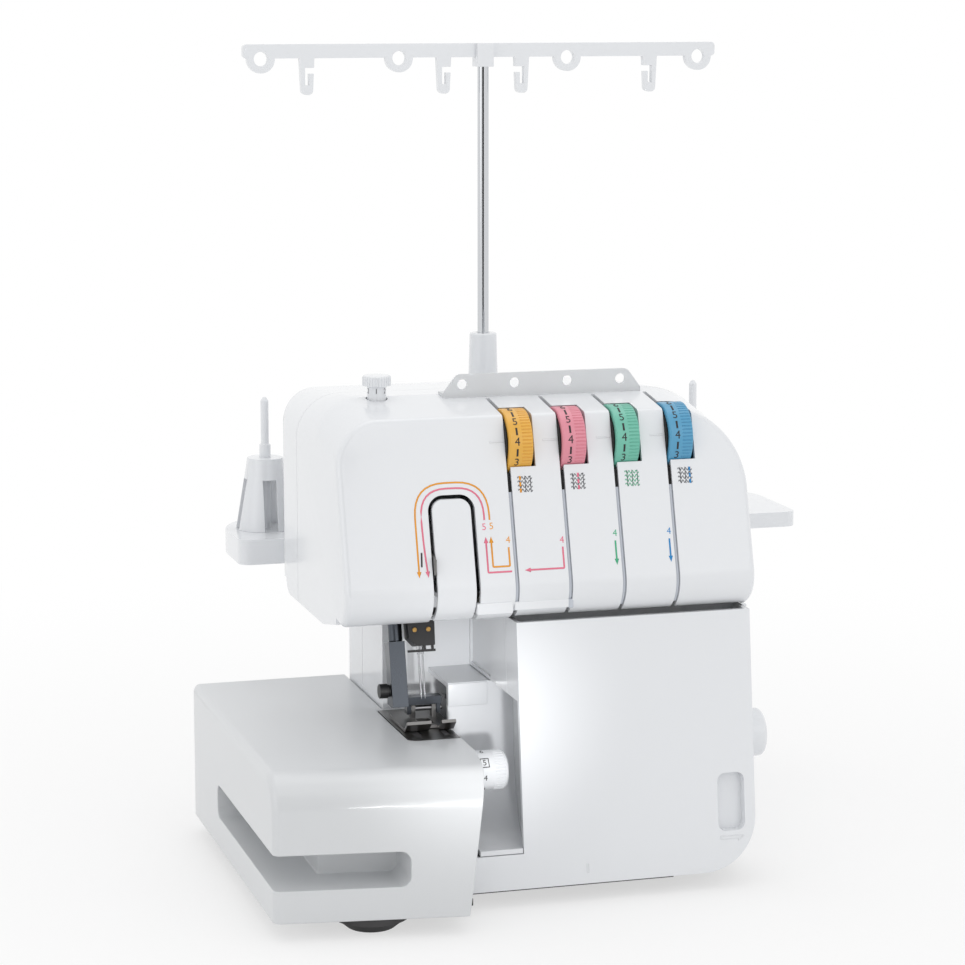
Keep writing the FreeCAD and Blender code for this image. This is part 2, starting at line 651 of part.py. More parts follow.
def head_block(inset):
    """The head's outer form, or the same form drawn in by a wall."""
    front = FACE_FOOT_Y - 12

    def section(y, top):
        outline = [
            (HEAD_LEFT + inset, HEAD_BOTTOM + inset, CORNER_LOW_LEFT - inset),
            (HEAD_LEFT + inset, top - inset, CORNER_TOP_LEFT - inset),
            (HEAD_RIGHT - inset, top - inset, CORNER_TOP_RIGHT - inset),
            (HEAD_RIGHT - inset, HEAD_BOTTOM + inset, 0),
        ]
        return rounded_wire(outline, lambda u, v: V(u, y, v))

    body = Part.makeLoft([
        section(front, HEAD_TOP - CREST_SLOPE * (CREST_Y - front)),
        section(CREST_Y, HEAD_TOP),
        section(CASE_BACK - inset, HEAD_TOP - BACK_DROP),
    ], True, True)
    slant = inset * math.hypot(1, FACE_LEAN)
    high = HEAD_TOP + 40
    profile = [
        (face_y(HEAD_BOTTOM + inset) + slant, HEAD_BOTTOM + inset, FACE_FOOT_RADIUS - inset),
        (face_y(high) + slant, high, 0),
        (CASE_BACK + 20, high, 0),
        (CASE_BACK + 20, HEAD_BOTTOM + inset, 0),
    ]
    plan = [
        (HEAD_LEFT + inset, front - 5, 0),
        (HEAD_RIGHT - inset, front - 5, 0),
        (HEAD_RIGHT - inset, CASE_BACK - inset, 0),
        (HEAD_LEFT + inset, CASE_BACK - inset, CORNER_BACK_LEFT - inset),
    ]
    side_view = prism(profile, "yz", HEAD_LEFT - 20, HEAD_RIGHT + 20)
    return body.common(side_view).common(prism(plan, "xy", HEAD_BOTTOM - 1, high))


def round_face_rim(block):
    """Rounds the edges where the slanted face meets the head's sides and top."""
    foot = HEAD_BOTTOM + 2 * FACE_FOOT_RADIUS

    def in_face(point):
        return abs(point.y - face_y(point.z)) < GAP / 2

    rim = []
    for edge in block.Edges:
        ends = [vertex.Point for vertex in edge.Vertexes]
        middle = edge.valueAt((edge.FirstParameter + edge.LastParameter) / 2)
        at_foot = all(point.z < foot for point in ends)
        if all(in_face(point) for point in ends + [middle]) and not at_foot:
            rim.append(edge)
    return block.makeFillet(FACE_RIM_RADIUS, rim)


def head_skirt():
    """Lower edge of the left wall, which hangs below the underside."""
    top = HEAD_BOTTOM + CORNER_LOW_LEFT + SKIRT_RADIUS
    low = HEAD_BOTTOM - SKIRT_DROP
    outline = [
        (SKIRT_FRONT, HEAD_BOTTOM, 0),
        (SKIRT_FRONT + 3 * SKIRT_RADIUS, low, 3 * SKIRT_RADIUS),
        (SKIRT_BACK, low, SKIRT_RADIUS),
        (SKIRT_BACK, top, 0),
        (SKIRT_FRONT, top, 0),
    ]
    return prism(outline, "yz", HEAD_LEFT, HEAD_LEFT + WALL)


def tongue_outline(inset, low):
    return [
        (TONGUE_LEFT + inset, low, 0),
        (TONGUE_RIGHT - inset, low, 0),
        (TONGUE_RIGHT - inset, TONGUE_TOP - inset, TONGUE_CORNER - inset),
        (TONGUE_LEFT + inset, TONGUE_TOP - inset, TONGUE_CORNER - inset),
    ]


def head_floor_opening():
    """Opening of the head's underside over the column and the tower."""
    low = HEAD_BOTTOM - 1
    high = HEAD_BOTTOM + WALL + 0.5
    right = HEAD_RIGHT - WALL
    tower = box(TOWER_LEFT - SEAM, right, cover_y(COVER_TOP) + WALL + 2, PARTING_Y + 1, low, high)
    column = box(COLUMN_LEFT + WALL, right, COLUMN_FRONT + WALL, PARTING_Y + 1, low, high)
    return tower.fuse(column)


def make_head(outer, inner):
    shell = outer.cut(inner)
    front_half = box(HEAD_LEFT - 5, HEAD_RIGHT + 5, FACE_FOOT_Y - 20, HEAD_PARTING_Y - PARTING_GAP,
                     HEAD_BOTTOM - SKIRT_DROP - 5, HEAD_TOP + 5)
    housing = shell.common(front_half)
    low = HEAD_BOTTOM - 1
    high = HEAD_BOTTOM + WALL + 0.5
    bars = box(PRESSER_X - 12, NEEDLE_X + 12, NEEDLE_Y - 12, NEEDLE_Y + 27, low, high)
    lens = box(LAMP_X[0], LAMP_X[1], NEEDLE_Y - LAMP_FRONT, NEEDLE_Y + LAMP_REAR, low, high)
    knob_hole = rod("z", PRESSURE_STEM_RADIUS + SEAM, HEAD_TOP - 20, HEAD_TOP + 5, PRESSURE_X, PRESSURE_Y)
    cuts = [head_floor_opening(), bars, lens, knob_hole]
    for centre in DIAL_CENTRES:
        slot_left = centre + SLOT_OFFSET - SLOT_WIDTH / 2
        cuts.append(box(slot_left, slot_left + SLOT_WIDTH, FACE_FOOT_Y - 5, GUIDE_Y - 2,
                        HEAD_BOTTOM - 2, HEAD_TOP + 2))
        cuts.append(rod("x", DIAL_RADIUS + DIAL_ROOM, slot_left, centre + DIAL_WIDTH / 2 + DIAL_ROOM_RIGHT,
                        DIAL_Y, DIAL_Z))
    tongue_back = FACE_FOOT_Y + FACE_FOOT_RADIUS * 1.5
    cuts.append(prism(tongue_outline(0, HEAD_BOTTOM - 5), "xz", FACE_FOOT_Y - 20, tongue_back))
    PARTS["front_housing"] = housing.cut(Part.makeCompound(cuts))
    tongue_form = tongue_outline(TONGUE_GAP, HEAD_BOTTOM + 1.6)
    tongue = shell.common(prism(tongue_form, "xz", FACE_FOOT_Y - 20, tongue_back - TONGUE_GAP))
    post = box(NEEDLE_X - 3, NEEDLE_X + 3, face_y(TAKE_UP_Z) + 2, TAKE_UP_Y - 4, TAKE_UP_Z - 3,
               TAKE_UP_Z + 3)
    PARTS["take_up_cover"] = fuse([tongue, post])


def make_rear(outer, inner):
    column = box(COLUMN_LEFT, HEAD_RIGHT, PARTING_Y, CASE_BACK, CASING_BOTTOM, HEAD_BOTTOM + 1)
    column_in = box(COLUMN_LEFT + WALL, HEAD_RIGHT - WALL, PARTING_Y - 1, CASE_BACK - WALL,
                    CASING_BOTTOM - 1, HEAD_BOTTOM + WALL + 1)
    back_half = box(HEAD_LEFT - 5, HEAD_RIGHT + 5, HEAD_PARTING_Y, CASE_BACK + 5, CASING_BOTTOM - 5,
                    HEAD_TOP + 5)
    shell = fuse([outer.common(back_half), column]).cut(inner).cut(column_in)
    front = CASE_BACK - WALL - 1
    back = CASE_BACK + 1
    half = LIFTER_WIDTH / 2 + 2
    cuts = [head_floor_opening(), box(LIFTER_X - half, LIFTER_X + half, front, back, *LIFTER_SLOT)]
    for row in range(VENT_ROWS):
        z = VENT_LOW + row * VENT_PITCH
        cuts.append(box(VENT_X[0], VENT_X[1], front, back, z, z + VENT_HEIGHT))
    for x, z in REAR_SCREWS:
        cuts.append(rod("y", REAR_SCREW_RADIUS, front, back, x, z))
    PARTS["rear_housing"] = shell.cut(Part.makeCompound(cuts))
    screws = []
    for x, z in REAR_SCREWS:
        screws.append(fuse([rod("y", REAR_SCREW_HEAD, CASE_BACK, CASE_BACK + 2, x, z),
                            rod("y", REAR_SCREW_RADIUS, CASE_BACK - REAR_SCREW_LENGTH, CASE_BACK, x, z)]))
    for x, y in SCREW_PLACES:
        low = BED_HEIGHT - PLATE_THICKNESS + 0.4
        screws.append(fuse([cone_z(PLATE_SCREW_RADIUS, PLATE_SCREW_HEAD, low, BED_HEIGHT, x, y),
                            rod("z", PLATE_SCREW_RADIUS, ARM_TOP - WALL, low, x, y)]))
    PARTS["screws"] = Part.makeCompound(screws)


def toe_cut(low):
    """Corner taken off the right wall behind the rounded corner of the cover."""
    front = cover_y(low) + COVER_RETURN
    x0 = HEAD_RIGHT - WALL - 1
    x1 = HEAD_RIGHT + 1
    corner = box(x0, x1, front - 1, front + TOE_RADIUS, low - 1, low + TOE_RADIUS)
    return corner.cut(rod("x", TOE_RADIUS, x0 - 1, x1 + 1, front + TOE_RADIUS, low + TOE_RADIUS))


def make_column():
    top = HEAD_BOTTOM - GAP
    low = CASING_BOTTOM
    column = box(COLUMN_LEFT, HEAD_RIGHT, COLUMN_FRONT, PARTING_Y - PARTING_GAP, low, top)
    tower = box(TOWER_LEFT, HEAD_RIGHT, COVER_FOOT_Y, PARTING_Y - PARTING_GAP, low, top)
    column_in = box(COLUMN_LEFT + WALL, HEAD_RIGHT - WALL, COLUMN_FRONT + WALL, PARTING_Y + 1, low - 1,
                    top + 1)
    tower_in = box(TOWER_LEFT + WALL, HEAD_RIGHT - WALL, COVER_FOOT_Y - 1, PARTING_Y + 1, low - 1, top + 1)
    walls = fuse([column, tower]).cut(fuse([column_in, tower_in]))
    inside = HEAD_RIGHT - WALL
    bosses = []
    for y, z in ((LENGTH_DIAL_Y, LENGTH_DIAL_Z), (DIFF_LEVER_Y, DIFF_LEVER_Z)):
        bosses.append(rod("x", KNOB_BOSS_RADIUS, inside - 9, inside + 1, y, z))
    for z0, z1 in ((SWITCH_Z - SWITCH_HEIGHT / 2 - 5, SWITCH_Z - SWITCH_HEIGHT / 2 - GAP),
                   (SWITCH_Z + SWITCH_HEIGHT / 2 + GAP, SWITCH_Z + SWITCH_HEIGHT / 2 + 5)):
        bosses.append(box(inside - 5, inside + 1, SWITCH_Y - 4, SWITCH_Y + 4, z0, z1))
    front_tie = box(TOWER_LEFT, HEAD_RIGHT, TIE_FRONT, TIE_FRONT + 7, top - 6, top)
    back_tie = box(COLUMN_LEFT, HEAD_RIGHT, PARTING_Y - PARTING_GAP - 4, PARTING_Y - PARTING_GAP, top - 6,
                   top)
    walls = fuse([walls, front_tie, back_tie] + bosses)
    cuts = [
        behind_cover(COVER_RETURN + GAP, 0, HEAD_RIGHT + 1, low - 1, top + 1),
        behind_cover(COVER_LEFT_RETURN + GAP, TOWER_LEFT - 1, 0, low - 1, top + 1),
        toe_cut(low),
        box(TOWER_LEFT - 1, TOWER_LEFT + WALL + 1, COVER_FOOT_Y, COLUMN_FRONT, low - 1,
            GUARD_TOP + PARTING_GAP),
        box(TOWER_LEFT - 1, TOWER_LEFT + RECESS_DEPTH, GUARD_FRONT - 1, COLUMN_FRONT - 2, GUARD_TOP + 2,
            top - 1.5),
        box(NOSE_WALL_LEFT - GAP, ARM_RIGHT + GAP, COLUMN_FRONT - 1, COLUMN_FRONT + WALL + 1,
            ARM_BOTTOM + 4, ARM_TOP - 5),
        rod("x", SHAFT_RADIUS + 2, inside - 1, HEAD_RIGHT + 1, SHAFT_Y, SHAFT_Z),
        rod("x", KNOB_SHAFT_RADIUS + RUN, inside - 10, HEAD_RIGHT + 1, LENGTH_DIAL_Y, LENGTH_DIAL_Z),
        rod("x", KNOB_SHAFT_RADIUS + RUN, inside - 10, HEAD_RIGHT + 1, DIFF_LEVER_Y, DIFF_LEVER_Z),
        box(inside - 1, HEAD_RIGHT + 1, INLET_Y[0], INLET_Y[1], INLET_Z[0], INLET_Z[1]),
        box(inside - 1, HEAD_RIGHT + 1, SWITCH_Y - SWITCH_LENGTH / 2 - 1, SWITCH_Y + SWITCH_LENGTH / 2 + 1,
            SWITCH_Z - SWITCH_HEIGHT / 2 - GAP, SWITCH_Z + SWITCH_HEIGHT / 2 + GAP),
        rod("z", SWITCH_PIN_RADIUS + RUN, SWITCH_Z - SWITCH_HEIGHT / 2 - 4,
            SWITCH_Z + SWITCH_HEIGHT / 2 + 4,
            inside - 2.5, SWITCH_Y),
    ]
    PARTS["column_casing"] = walls.cut(Part.makeCompound(cuts))


def make_side_controls():
    face = HEAD_RIGHT + GAP
    inside = HEAD_RIGHT - WALL
    dial = rod("x", LENGTH_DIAL_RADIUS, face, face + LENGTH_DIAL_WIDTH, LENGTH_DIAL_Y, LENGTH_DIAL_Z)
    rim = [e for e in dial.Edges if e.BoundBox.XMin > face + LENGTH_DIAL_WIDTH - 0.01]
    dial = dial.makeFillet(2.0, rim)
    shaft = rod("x", KNOB_SHAFT_RADIUS, inside - 9, face, LENGTH_DIAL_Y, LENGTH_DIAL_Z)
    PARTS["stitch_length_dial"] = fuse([dial, shaft])
    disc = rod("x", 8.0, face, face + 4, DIFF_LEVER_Y, DIFF_LEVER_Z)
    grip = prism([(DIFF_LEVER_Y - 4, DIFF_LEVER_Z, 0), (DIFF_LEVER_Y + 4, DIFF_LEVER_Z, 0),
                  (DIFF_LEVER_Y + 3, DIFF_LEVER_Z + 20, 2.5), (DIFF_LEVER_Y - 3, DIFF_LEVER_Z + 20, 2.5)],
                 "yz", face + 1, face + 9)
    shaft = rod("x", KNOB_SHAFT_RADIUS, inside - 9, face, DIFF_LEVER_Y, DIFF_LEVER_Z)
    PARTS["differential_lever"] = fuse([disc, grip, shaft])
    half = SWITCH_LENGTH / 2
    rocker = prism(sharp([
        (inside - 4, SWITCH_Y - half), (HEAD_RIGHT + 1.5, SWITCH_Y - half), (HEAD_RIGHT + 0.2, SWITCH_Y),
        (HEAD_RIGHT + 1.5, SWITCH_Y + half), (inside - 4, SWITCH_Y + half)]),
        "xy", SWITCH_Z - SWITCH_HEIGHT / 2, SWITCH_Z + SWITCH_HEIGHT / 2)
    pin = rod("z", SWITCH_PIN_RADIUS, SWITCH_Z - SWITCH_HEIGHT / 2 - 3.5,
              SWITCH_Z + SWITCH_HEIGHT / 2 + 3.5,
              inside - 2.5, SWITCH_Y)
    PARTS["power_switch"] = fuse([rocker, pin])
    body = box(inside - 9, HEAD_RIGHT + 0.6, INLET_Y[0] + 0.1, INLET_Y[1] - 0.1, INLET_Z[0] + 0.1,
               INLET_Z[1] - 0.1)
    flange = box(HEAD_RIGHT, HEAD_RIGHT + 1.6, INLET_Y[0] - 2, INLET_Y[1] + 2, INLET_Z[0] - 2,
                 INLET_Z[1] + 2)
    cavity = box(inside - 7, HEAD_RIGHT + 3, INLET_Y[0] + 3, INLET_Y[1] - 3, INLET_Z[0] + 2.5,
                 INLET_Z[1] - 2.5)
    middle = ((INLET_Y[0] + INLET_Y[1]) / 2, (INLET_Z[0] + INLET_Z[1]) / 2)
    pins = [rod("x", 1.2, inside - 8, HEAD_RIGHT - 1, middle[0] + dy, middle[1]) for dy in (-3.0, 3.0)]
    PARTS["power_inlet"] = fuse([fuse([body, flange]).cut(cavity)] + pins)


def make_cover():
    lip_top = GUARD_FOOT - WALL - PARTING_GAP
    low = CASING_BOTTOM
    outline = [
        (TOWER_LEFT, COVER_TOP, 0),
        (COVER_RIGHT, COVER_TOP, 0),
        (COVER_RIGHT, low, COVER_CORNER),
        (COVER_LIP_LEFT, low, 0),
        (COVER_LIP_LEFT, lip_top, 0),
        (TOWER_LEFT, lip_top, 0),
    ]
    inner = [
        (TOWER_LEFT + WALL, COVER_TOP + 5, 0),
        (COVER_RIGHT - WALL, COVER_TOP + 5, 0),
        (COVER_RIGHT - WALL, low + WALL - 10, COVER_CORNER - WALL),
        (COVER_LIP_LEFT - 5, low + WALL - 10, 0),
        (COVER_LIP_LEFT - 5, lip_top + 5, 0),
        (TOWER_LEFT + WALL, lip_top + 5, 0),
    ]
    far = COVER_FOOT_Y - 20

    def slab(near, depth):
        top = COVER_TOP + 10
        foot = low - 20
        return prism(sharp([(cover_y(foot) + near, foot), (cover_y(foot) + depth, foot),
                            (cover_y(top) + depth, top), (cover_y(top) + near, top)]),
                     "yz", COVER_LIP_LEFT - 10, COVER_RIGHT + 10)

    tray = prism(outline, "xz", far, PARTING_Y).common(slab(0, COVER_RETURN))
    hollow = prism(inner, "xz", far, PARTING_Y).common(slab(WALL, COVER_RETURN + 5))
    tray = tray.cut(hollow)
    ear = box(TOWER_LEFT, TOWER_LEFT + WALL, far, PARTING_Y, GUARD_TOP + PARTING_GAP, COVER_TOP)
    ear = ear.common(slab(0.5, COVER_LEFT_RETURN))
    low_edge = box(TOWER_LEFT - 1, TOWER_LEFT + WALL + 0.1, far, PARTING_Y, lip_top - 1,
                   GUARD_TOP + PARTING_GAP)
    tray = tray.cut(low_edge.common(slab(WALL + 0.4, COVER_RETURN + 5)))
    backing = box(FINGER_LEFT - WALL, FINGER_RIGHT + WALL, far, PARTING_Y, FINGER_LOW - WALL,
                  FINGER_HIGH + WALL)
    backing = backing.common(slab(1, FINGER_DEPTH + WALL))
    knuckles = [rod("x", KNUCKLE_RADIUS, x0, x1, HINGE_Y, HINGE_Z) for x0, x1 in KNUCKLES]
    for x0, x1 in KNUCKLES:
        knuckles.append(box(x0, x1, cover_y(HINGE_Z) + 1, HINGE_Y, HINGE_Z - 2, HINGE_Z + 2))
    cover = fuse([tray, ear, backing] + knuckles)
    recess = prism([(FINGER_LEFT, FINGER_LOW, 4), (FINGER_RIGHT, FINGER_LOW, 4),
                    (FINGER_RIGHT, FINGER_HIGH, 4),
                    (FINGER_LEFT, FINGER_HIGH, 4)], "xz", far, PARTING_Y).common(slab(-1, FINGER_DEPTH))
    bores = [rod("x", HINGE_ROD_RADIUS + RUN, x0 - 1, x1 + 1, HINGE_Y, HINGE_Z) for x0, x1 in KNUCKLES]
    PARTS["front_cover"] = cover.cut(Part.makeCompound([recess] + bores))
    PARTS["cover_hinge_rod"] = rod("x", HINGE_ROD_RADIUS, KNUCKLES[0][0], KNUCKLES[-1][1], HINGE_Y, HINGE_Z)


def make_guard():
    radius = GUARD_SHELF_LOW - GUARD_FOOT
    centre = GUARD_FRONT - radius
    right = CHUTE_RIGHT_BACK + WALL

    def quarter(r):
        return rod("x", r, GUARD_LEFT, right, centre, GUARD_SHELF_LOW)

    sweep = quarter(radius + WALL).cut(quarter(radius))
    keep = box(GUARD_LEFT - 1, right + 1, max(centre, cover_y(GUARD_FOOT)), GUARD_FRONT + WALL + 1,
               GUARD_FOOT - WALL - 1, GUARD_SHELF_LOW)
    ramp = sweep.common(keep)
    front = box(GUARD_LEFT, right, GUARD_FRONT, GUARD_FRONT + WALL, GUARD_SHELF_LOW, GUARD_TOP)
    top = box(GUARD_LEFT, right, GUARD_FRONT, COLUMN_FRONT, GUARD_TOP - WALL, GUARD_TOP)
    chute = fuse([ramp, front, top])
    run = (CHUTE_RIGHT_BACK - CHUTE_RIGHT_FRONT) / (GUARD_FRONT - COVER_FOOT_Y)
    near = COVER_FOOT_Y - 10

    def line(y, shift):
        return CHUTE_RIGHT_FRONT + run * (y - COVER_FOOT_Y) + shift, y

    beyond = prism(sharp([line(near, 0), line(GUARD_FRONT, 0), (right + 5, GUARD_FRONT),
                          (right + 5, near)]),
                   "xy", 0, GUARD_TOP + 1)
    side = prism(sharp([line(near, 0), line(GUARD_FRONT + WALL, 0), line(GUARD_FRONT + WALL, WALL),
                        line(near, WALL)]),
                 "xy", GUARD_FOOT - WALL, GUARD_TOP)
    side = side.cut(behind_cover(WALL + PARTING_GAP, TOWER_LEFT - 20, right + 10, 0, GUARD_TOP + 1))
    behind_face = behind_cover(WALL + PARTING_GAP, TOWER_LEFT - PARTING_GAP, right + 10, 0, GUARD_TOP + 1)
    frame_side = box(FRAME_LEFT - SEAM, right + 5, FRAME_FRONT - SEAM, COLUMN_FRONT + 5, 0, GUARD_TOP + 1)
    PARTS["looper_guard"] = fuse([chute.cut(beyond), side]).cut(behind_face).cut(frame_side)


def make_frame():
    bed = box(FRAME_LEFT, FRAME_RIGHT, LOOPER_BRACKET_FRONT - 27, FRAME_BACK, BASE_TOP, FRAME_BED_TOP)
    toe = box(LOWER_PIVOT[0] - 8, FRAME_LEFT + 1, LOOPER_BRACKET_FRONT - 20, COLUMN_FRONT - 5, BASE_TOP,
              FRAME_BED_TOP)
    left = box(FRAME_LEFT, FRAME_LEFT + FRAME_WALL, FRAME_FRONT, FRAME_BACK, FRAME_BED_TOP - 1, FRAME_TOP)
    right = box(FRAME_RIGHT - FRAME_WALL, FRAME_RIGHT, FRAME_FRONT, FRAME_BACK, FRAME_BED_TOP - 1,
                FRAME_TOP)
    beam = box(FRAME_LEFT, FRAME_RIGHT, FRAME_BACK - 20, FRAME_BACK, FRAME_TOP - 15, FRAME_TOP)
    bracket = box(LOWER_PIVOT[0] - 6, FRAME_LEFT + FRAME_WALL, LOOPER_BRACKET_FRONT, LOOPER_BRACKET_BACK,
                  FRAME_BED_TOP - 1, UPPER_PIVOT[1] + 8)
    tie = box(FRAME_LEFT, FRAME_LEFT + FRAME_WALL, LOOPER_BRACKET_BACK - 1, FRAME_FRONT + 1,
              FRAME_BED_TOP - 1, UPPER_PIVOT[1] + 8)
    bed_arm = box(NOSE_WALL_LEFT, FRAME_LEFT + 1, COLUMN_FRONT + WALL + 0.6, FRAME_BACK - 2,
                  ARM_BOTTOM + 4.5, ARM_TOP - 9)
    stub = box(NOSE_WALL_LEFT, ARM_RIGHT, COLUMN_FRONT, COLUMN_FRONT + WALL + 1, ARM_BOTTOM + 4.5,
               ARM_TOP - 9)
    wall = box(NOSE_WALL_LEFT, FRAME_LEFT + FRAME_WALL, NOSE_WALL_FRONT, NOSE_WALL_BACK, NOSE_WALL_LOW,
               NOSE_WALL_HIGH)
    brackets = []
    for low in (NOSE_LOW, NOSE_HIGH):
        high = low + NOSE_THICKNESS
        brackets.append(tilt(box(NOSE_LEFT, NOSE_RIGHT, NEEDLE_Y - 12, NEEDLE_Y + 14, bar_z(low),
                                 bar_z(high))))
        arm = tilt(box(NOSE_WALL_LEFT, NOSE_RIGHT, NEEDLE_Y, NEEDLE_Y + 40, bar_z(low), bar_z(high)))
        brackets.append(arm.cut(box(NOSE_LEFT, NOSE_RIGHT + 5, NOSE_WALL_BACK, CASE_BACK, 0, HEAD_TOP)))
    knob_seat = box(PRESSURE_X - 7, PRESSURE_X + 7, PRESSURE_Y - 7, PRESSURE_Y + 14, KNOB_SEAT_LOW,
                    KNOB_SEAT_LOW + KNOB_SEAT_HEIGHT)
    take_up = box(TONGUE_LEFT + TONGUE_GAP + 0.6, NEEDLE_X + 4, TAKE_UP_Y - 4, NEEDLE_Y + 14,
                  TAKE_UP_Z - 10, TAKE_UP_Z + 5)
    struts = []
    for x0 in (FRAME_LEFT, FRAME_RIGHT - FRAME_WALL):
        struts.append(box(x0, x0 + FRAME_WALL, DIAL_Y + 14, FRAME_FRONT + 1, FRAME_TOP - 10, FRAME_TOP))
    rail = box(TENSION_LEFT, TENSION_RIGHT, DIAL_Y + 14, DIAL_Y + 20, FRAME_TOP - 6, FRAME_TOP + 2)
    ears = []
    for x in TENSION_EARS:
        ears.append(box(x - TENSION_EAR_WIDTH / 2, x + TENSION_EAR_WIDTH / 2, DIAL_Y - 5, DIAL_Y + 20,
                        FRAME_TOP - 6, DIAL_Z + 7))
    casting = fuse([bed, toe, left, right, beam, bracket, tie, bed_arm, stub, wall, knob_seat, take_up]
                   + brackets + struts + [rail] + ears)
    presser_y = NEEDLE_Y + PRESSER_BEHIND
    bores = [
        rod("x", BUSH_RADIUS, FRAME_LEFT - 1, FRAME_LEFT + FRAME_WALL + 1, SHAFT_Y, SHAFT_Z),
        rod("x", BUSH_RADIUS, FRAME_RIGHT - FRAME_WALL - 1, FRAME_RIGHT + 1, SHAFT_Y, SHAFT_Z),
        rod("y", LOOPER_PIN_RADIUS, LOOPER_BRACKET_FRONT - 1, LOOPER_BRACKET_BACK + 1, *LOWER_PIVOT),
        rod("y", LOOPER_PIN_RADIUS, LOOPER_BRACKET_FRONT - 1, LOOPER_BRACKET_BACK + 1, *UPPER_PIVOT),
        rod("x", LIFTER_PIN_RADIUS, NOSE_WALL_LEFT - 1, NOSE_WALL_LEFT + 9, LIFTER_Y, LIFTER_Z),
        rod("x", TENSION_SHAFT_RADIUS, TENSION_LEFT - 3, TENSION_RIGHT + 3, DIAL_Y, DIAL_Z),
        rod("x", TAKE_UP_PIN_RADIUS + RUN, TONGUE_LEFT, NEEDLE_X + 2, TAKE_UP_Y, TAKE_UP_Z),
        rod("z", PRESSURE_SCREW_RADIUS + RUN, KNOB_SEAT_LOW - 1, KNOB_SEAT_LOW + KNOB_SEAT_HEIGHT + 1,
            PRESSURE_X, PRESSURE_Y),
        tilt(rod("z", NEEDLE_BUSH_RADIUS, bar_z(NOSE_LOW - 6), bar_z(NOSE_LOW + NOSE_THICKNESS + 1),
                 NEEDLE_X, NEEDLE_Y)),
        tilt(rod("z", NEEDLE_BUSH_RADIUS, bar_z(NOSE_HIGH - 6), bar_z(NOSE_HIGH + NOSE_THICKNESS + 1),
                 NEEDLE_X, NEEDLE_Y)),
        tilt(rod("z", PRESSER_RADIUS + RUN, bar_z(NOSE_LOW - 6), bar_z(NOSE_HIGH + NOSE_THICKNESS + 6),
                 PRESSER_X, presser_y)),
    ]
    PARTS["frame"] = casting.cut(Part.makeCompound(bores))
    bushes = []
    for x0 in (FRAME_LEFT, FRAME_RIGHT - FRAME_WALL):
        outer = rod("x", BUSH_RADIUS, x0, x0 + FRAME_WALL, SHAFT_Y, SHAFT_Z)
        bushes.append(outer.cut(rod("x", SHAFT_RADIUS + RUN, x0 - 1, x0 + FRAME_WALL + 1, SHAFT_Y,
                                    SHAFT_Z)))
    for low in (NOSE_LOW, NOSE_HIGH):
        outer = rod("z", NEEDLE_BUSH_RADIUS, bar_z(low), bar_z(low + NOSE_THICKNESS), NEEDLE_X, NEEDLE_Y)
        inner = rod("z", NEEDLE_BAR_RADIUS + RUN, bar_z(low - 1), bar_z(low + NOSE_THICKNESS + 1), NEEDLE_X,
                    NEEDLE_Y)
        bushes.append(tilt(outer.cut(inner)))
    PARTS["bushes"] = Part.makeCompound(bushes)
    PARTS["pivot_pins"] = Part.makeCompound([
        rod("y", LOOPER_PIN_RADIUS, LOWER_LOOPER_Y[0] - 1, LOOPER_BRACKET_BACK, *LOWER_PIVOT),
        rod("y", LOOPER_PIN_RADIUS, UPPER_LOOPER_Y[0] - 1, LOOPER_BRACKET_BACK, *UPPER_PIVOT),
        rod("x", LIFTER_PIN_RADIUS, LIFTER_X - LIFTER_WIDTH / 2 - 1, NOSE_WALL_LEFT + 8, LIFTER_Y,
            LIFTER_Z),
    ])


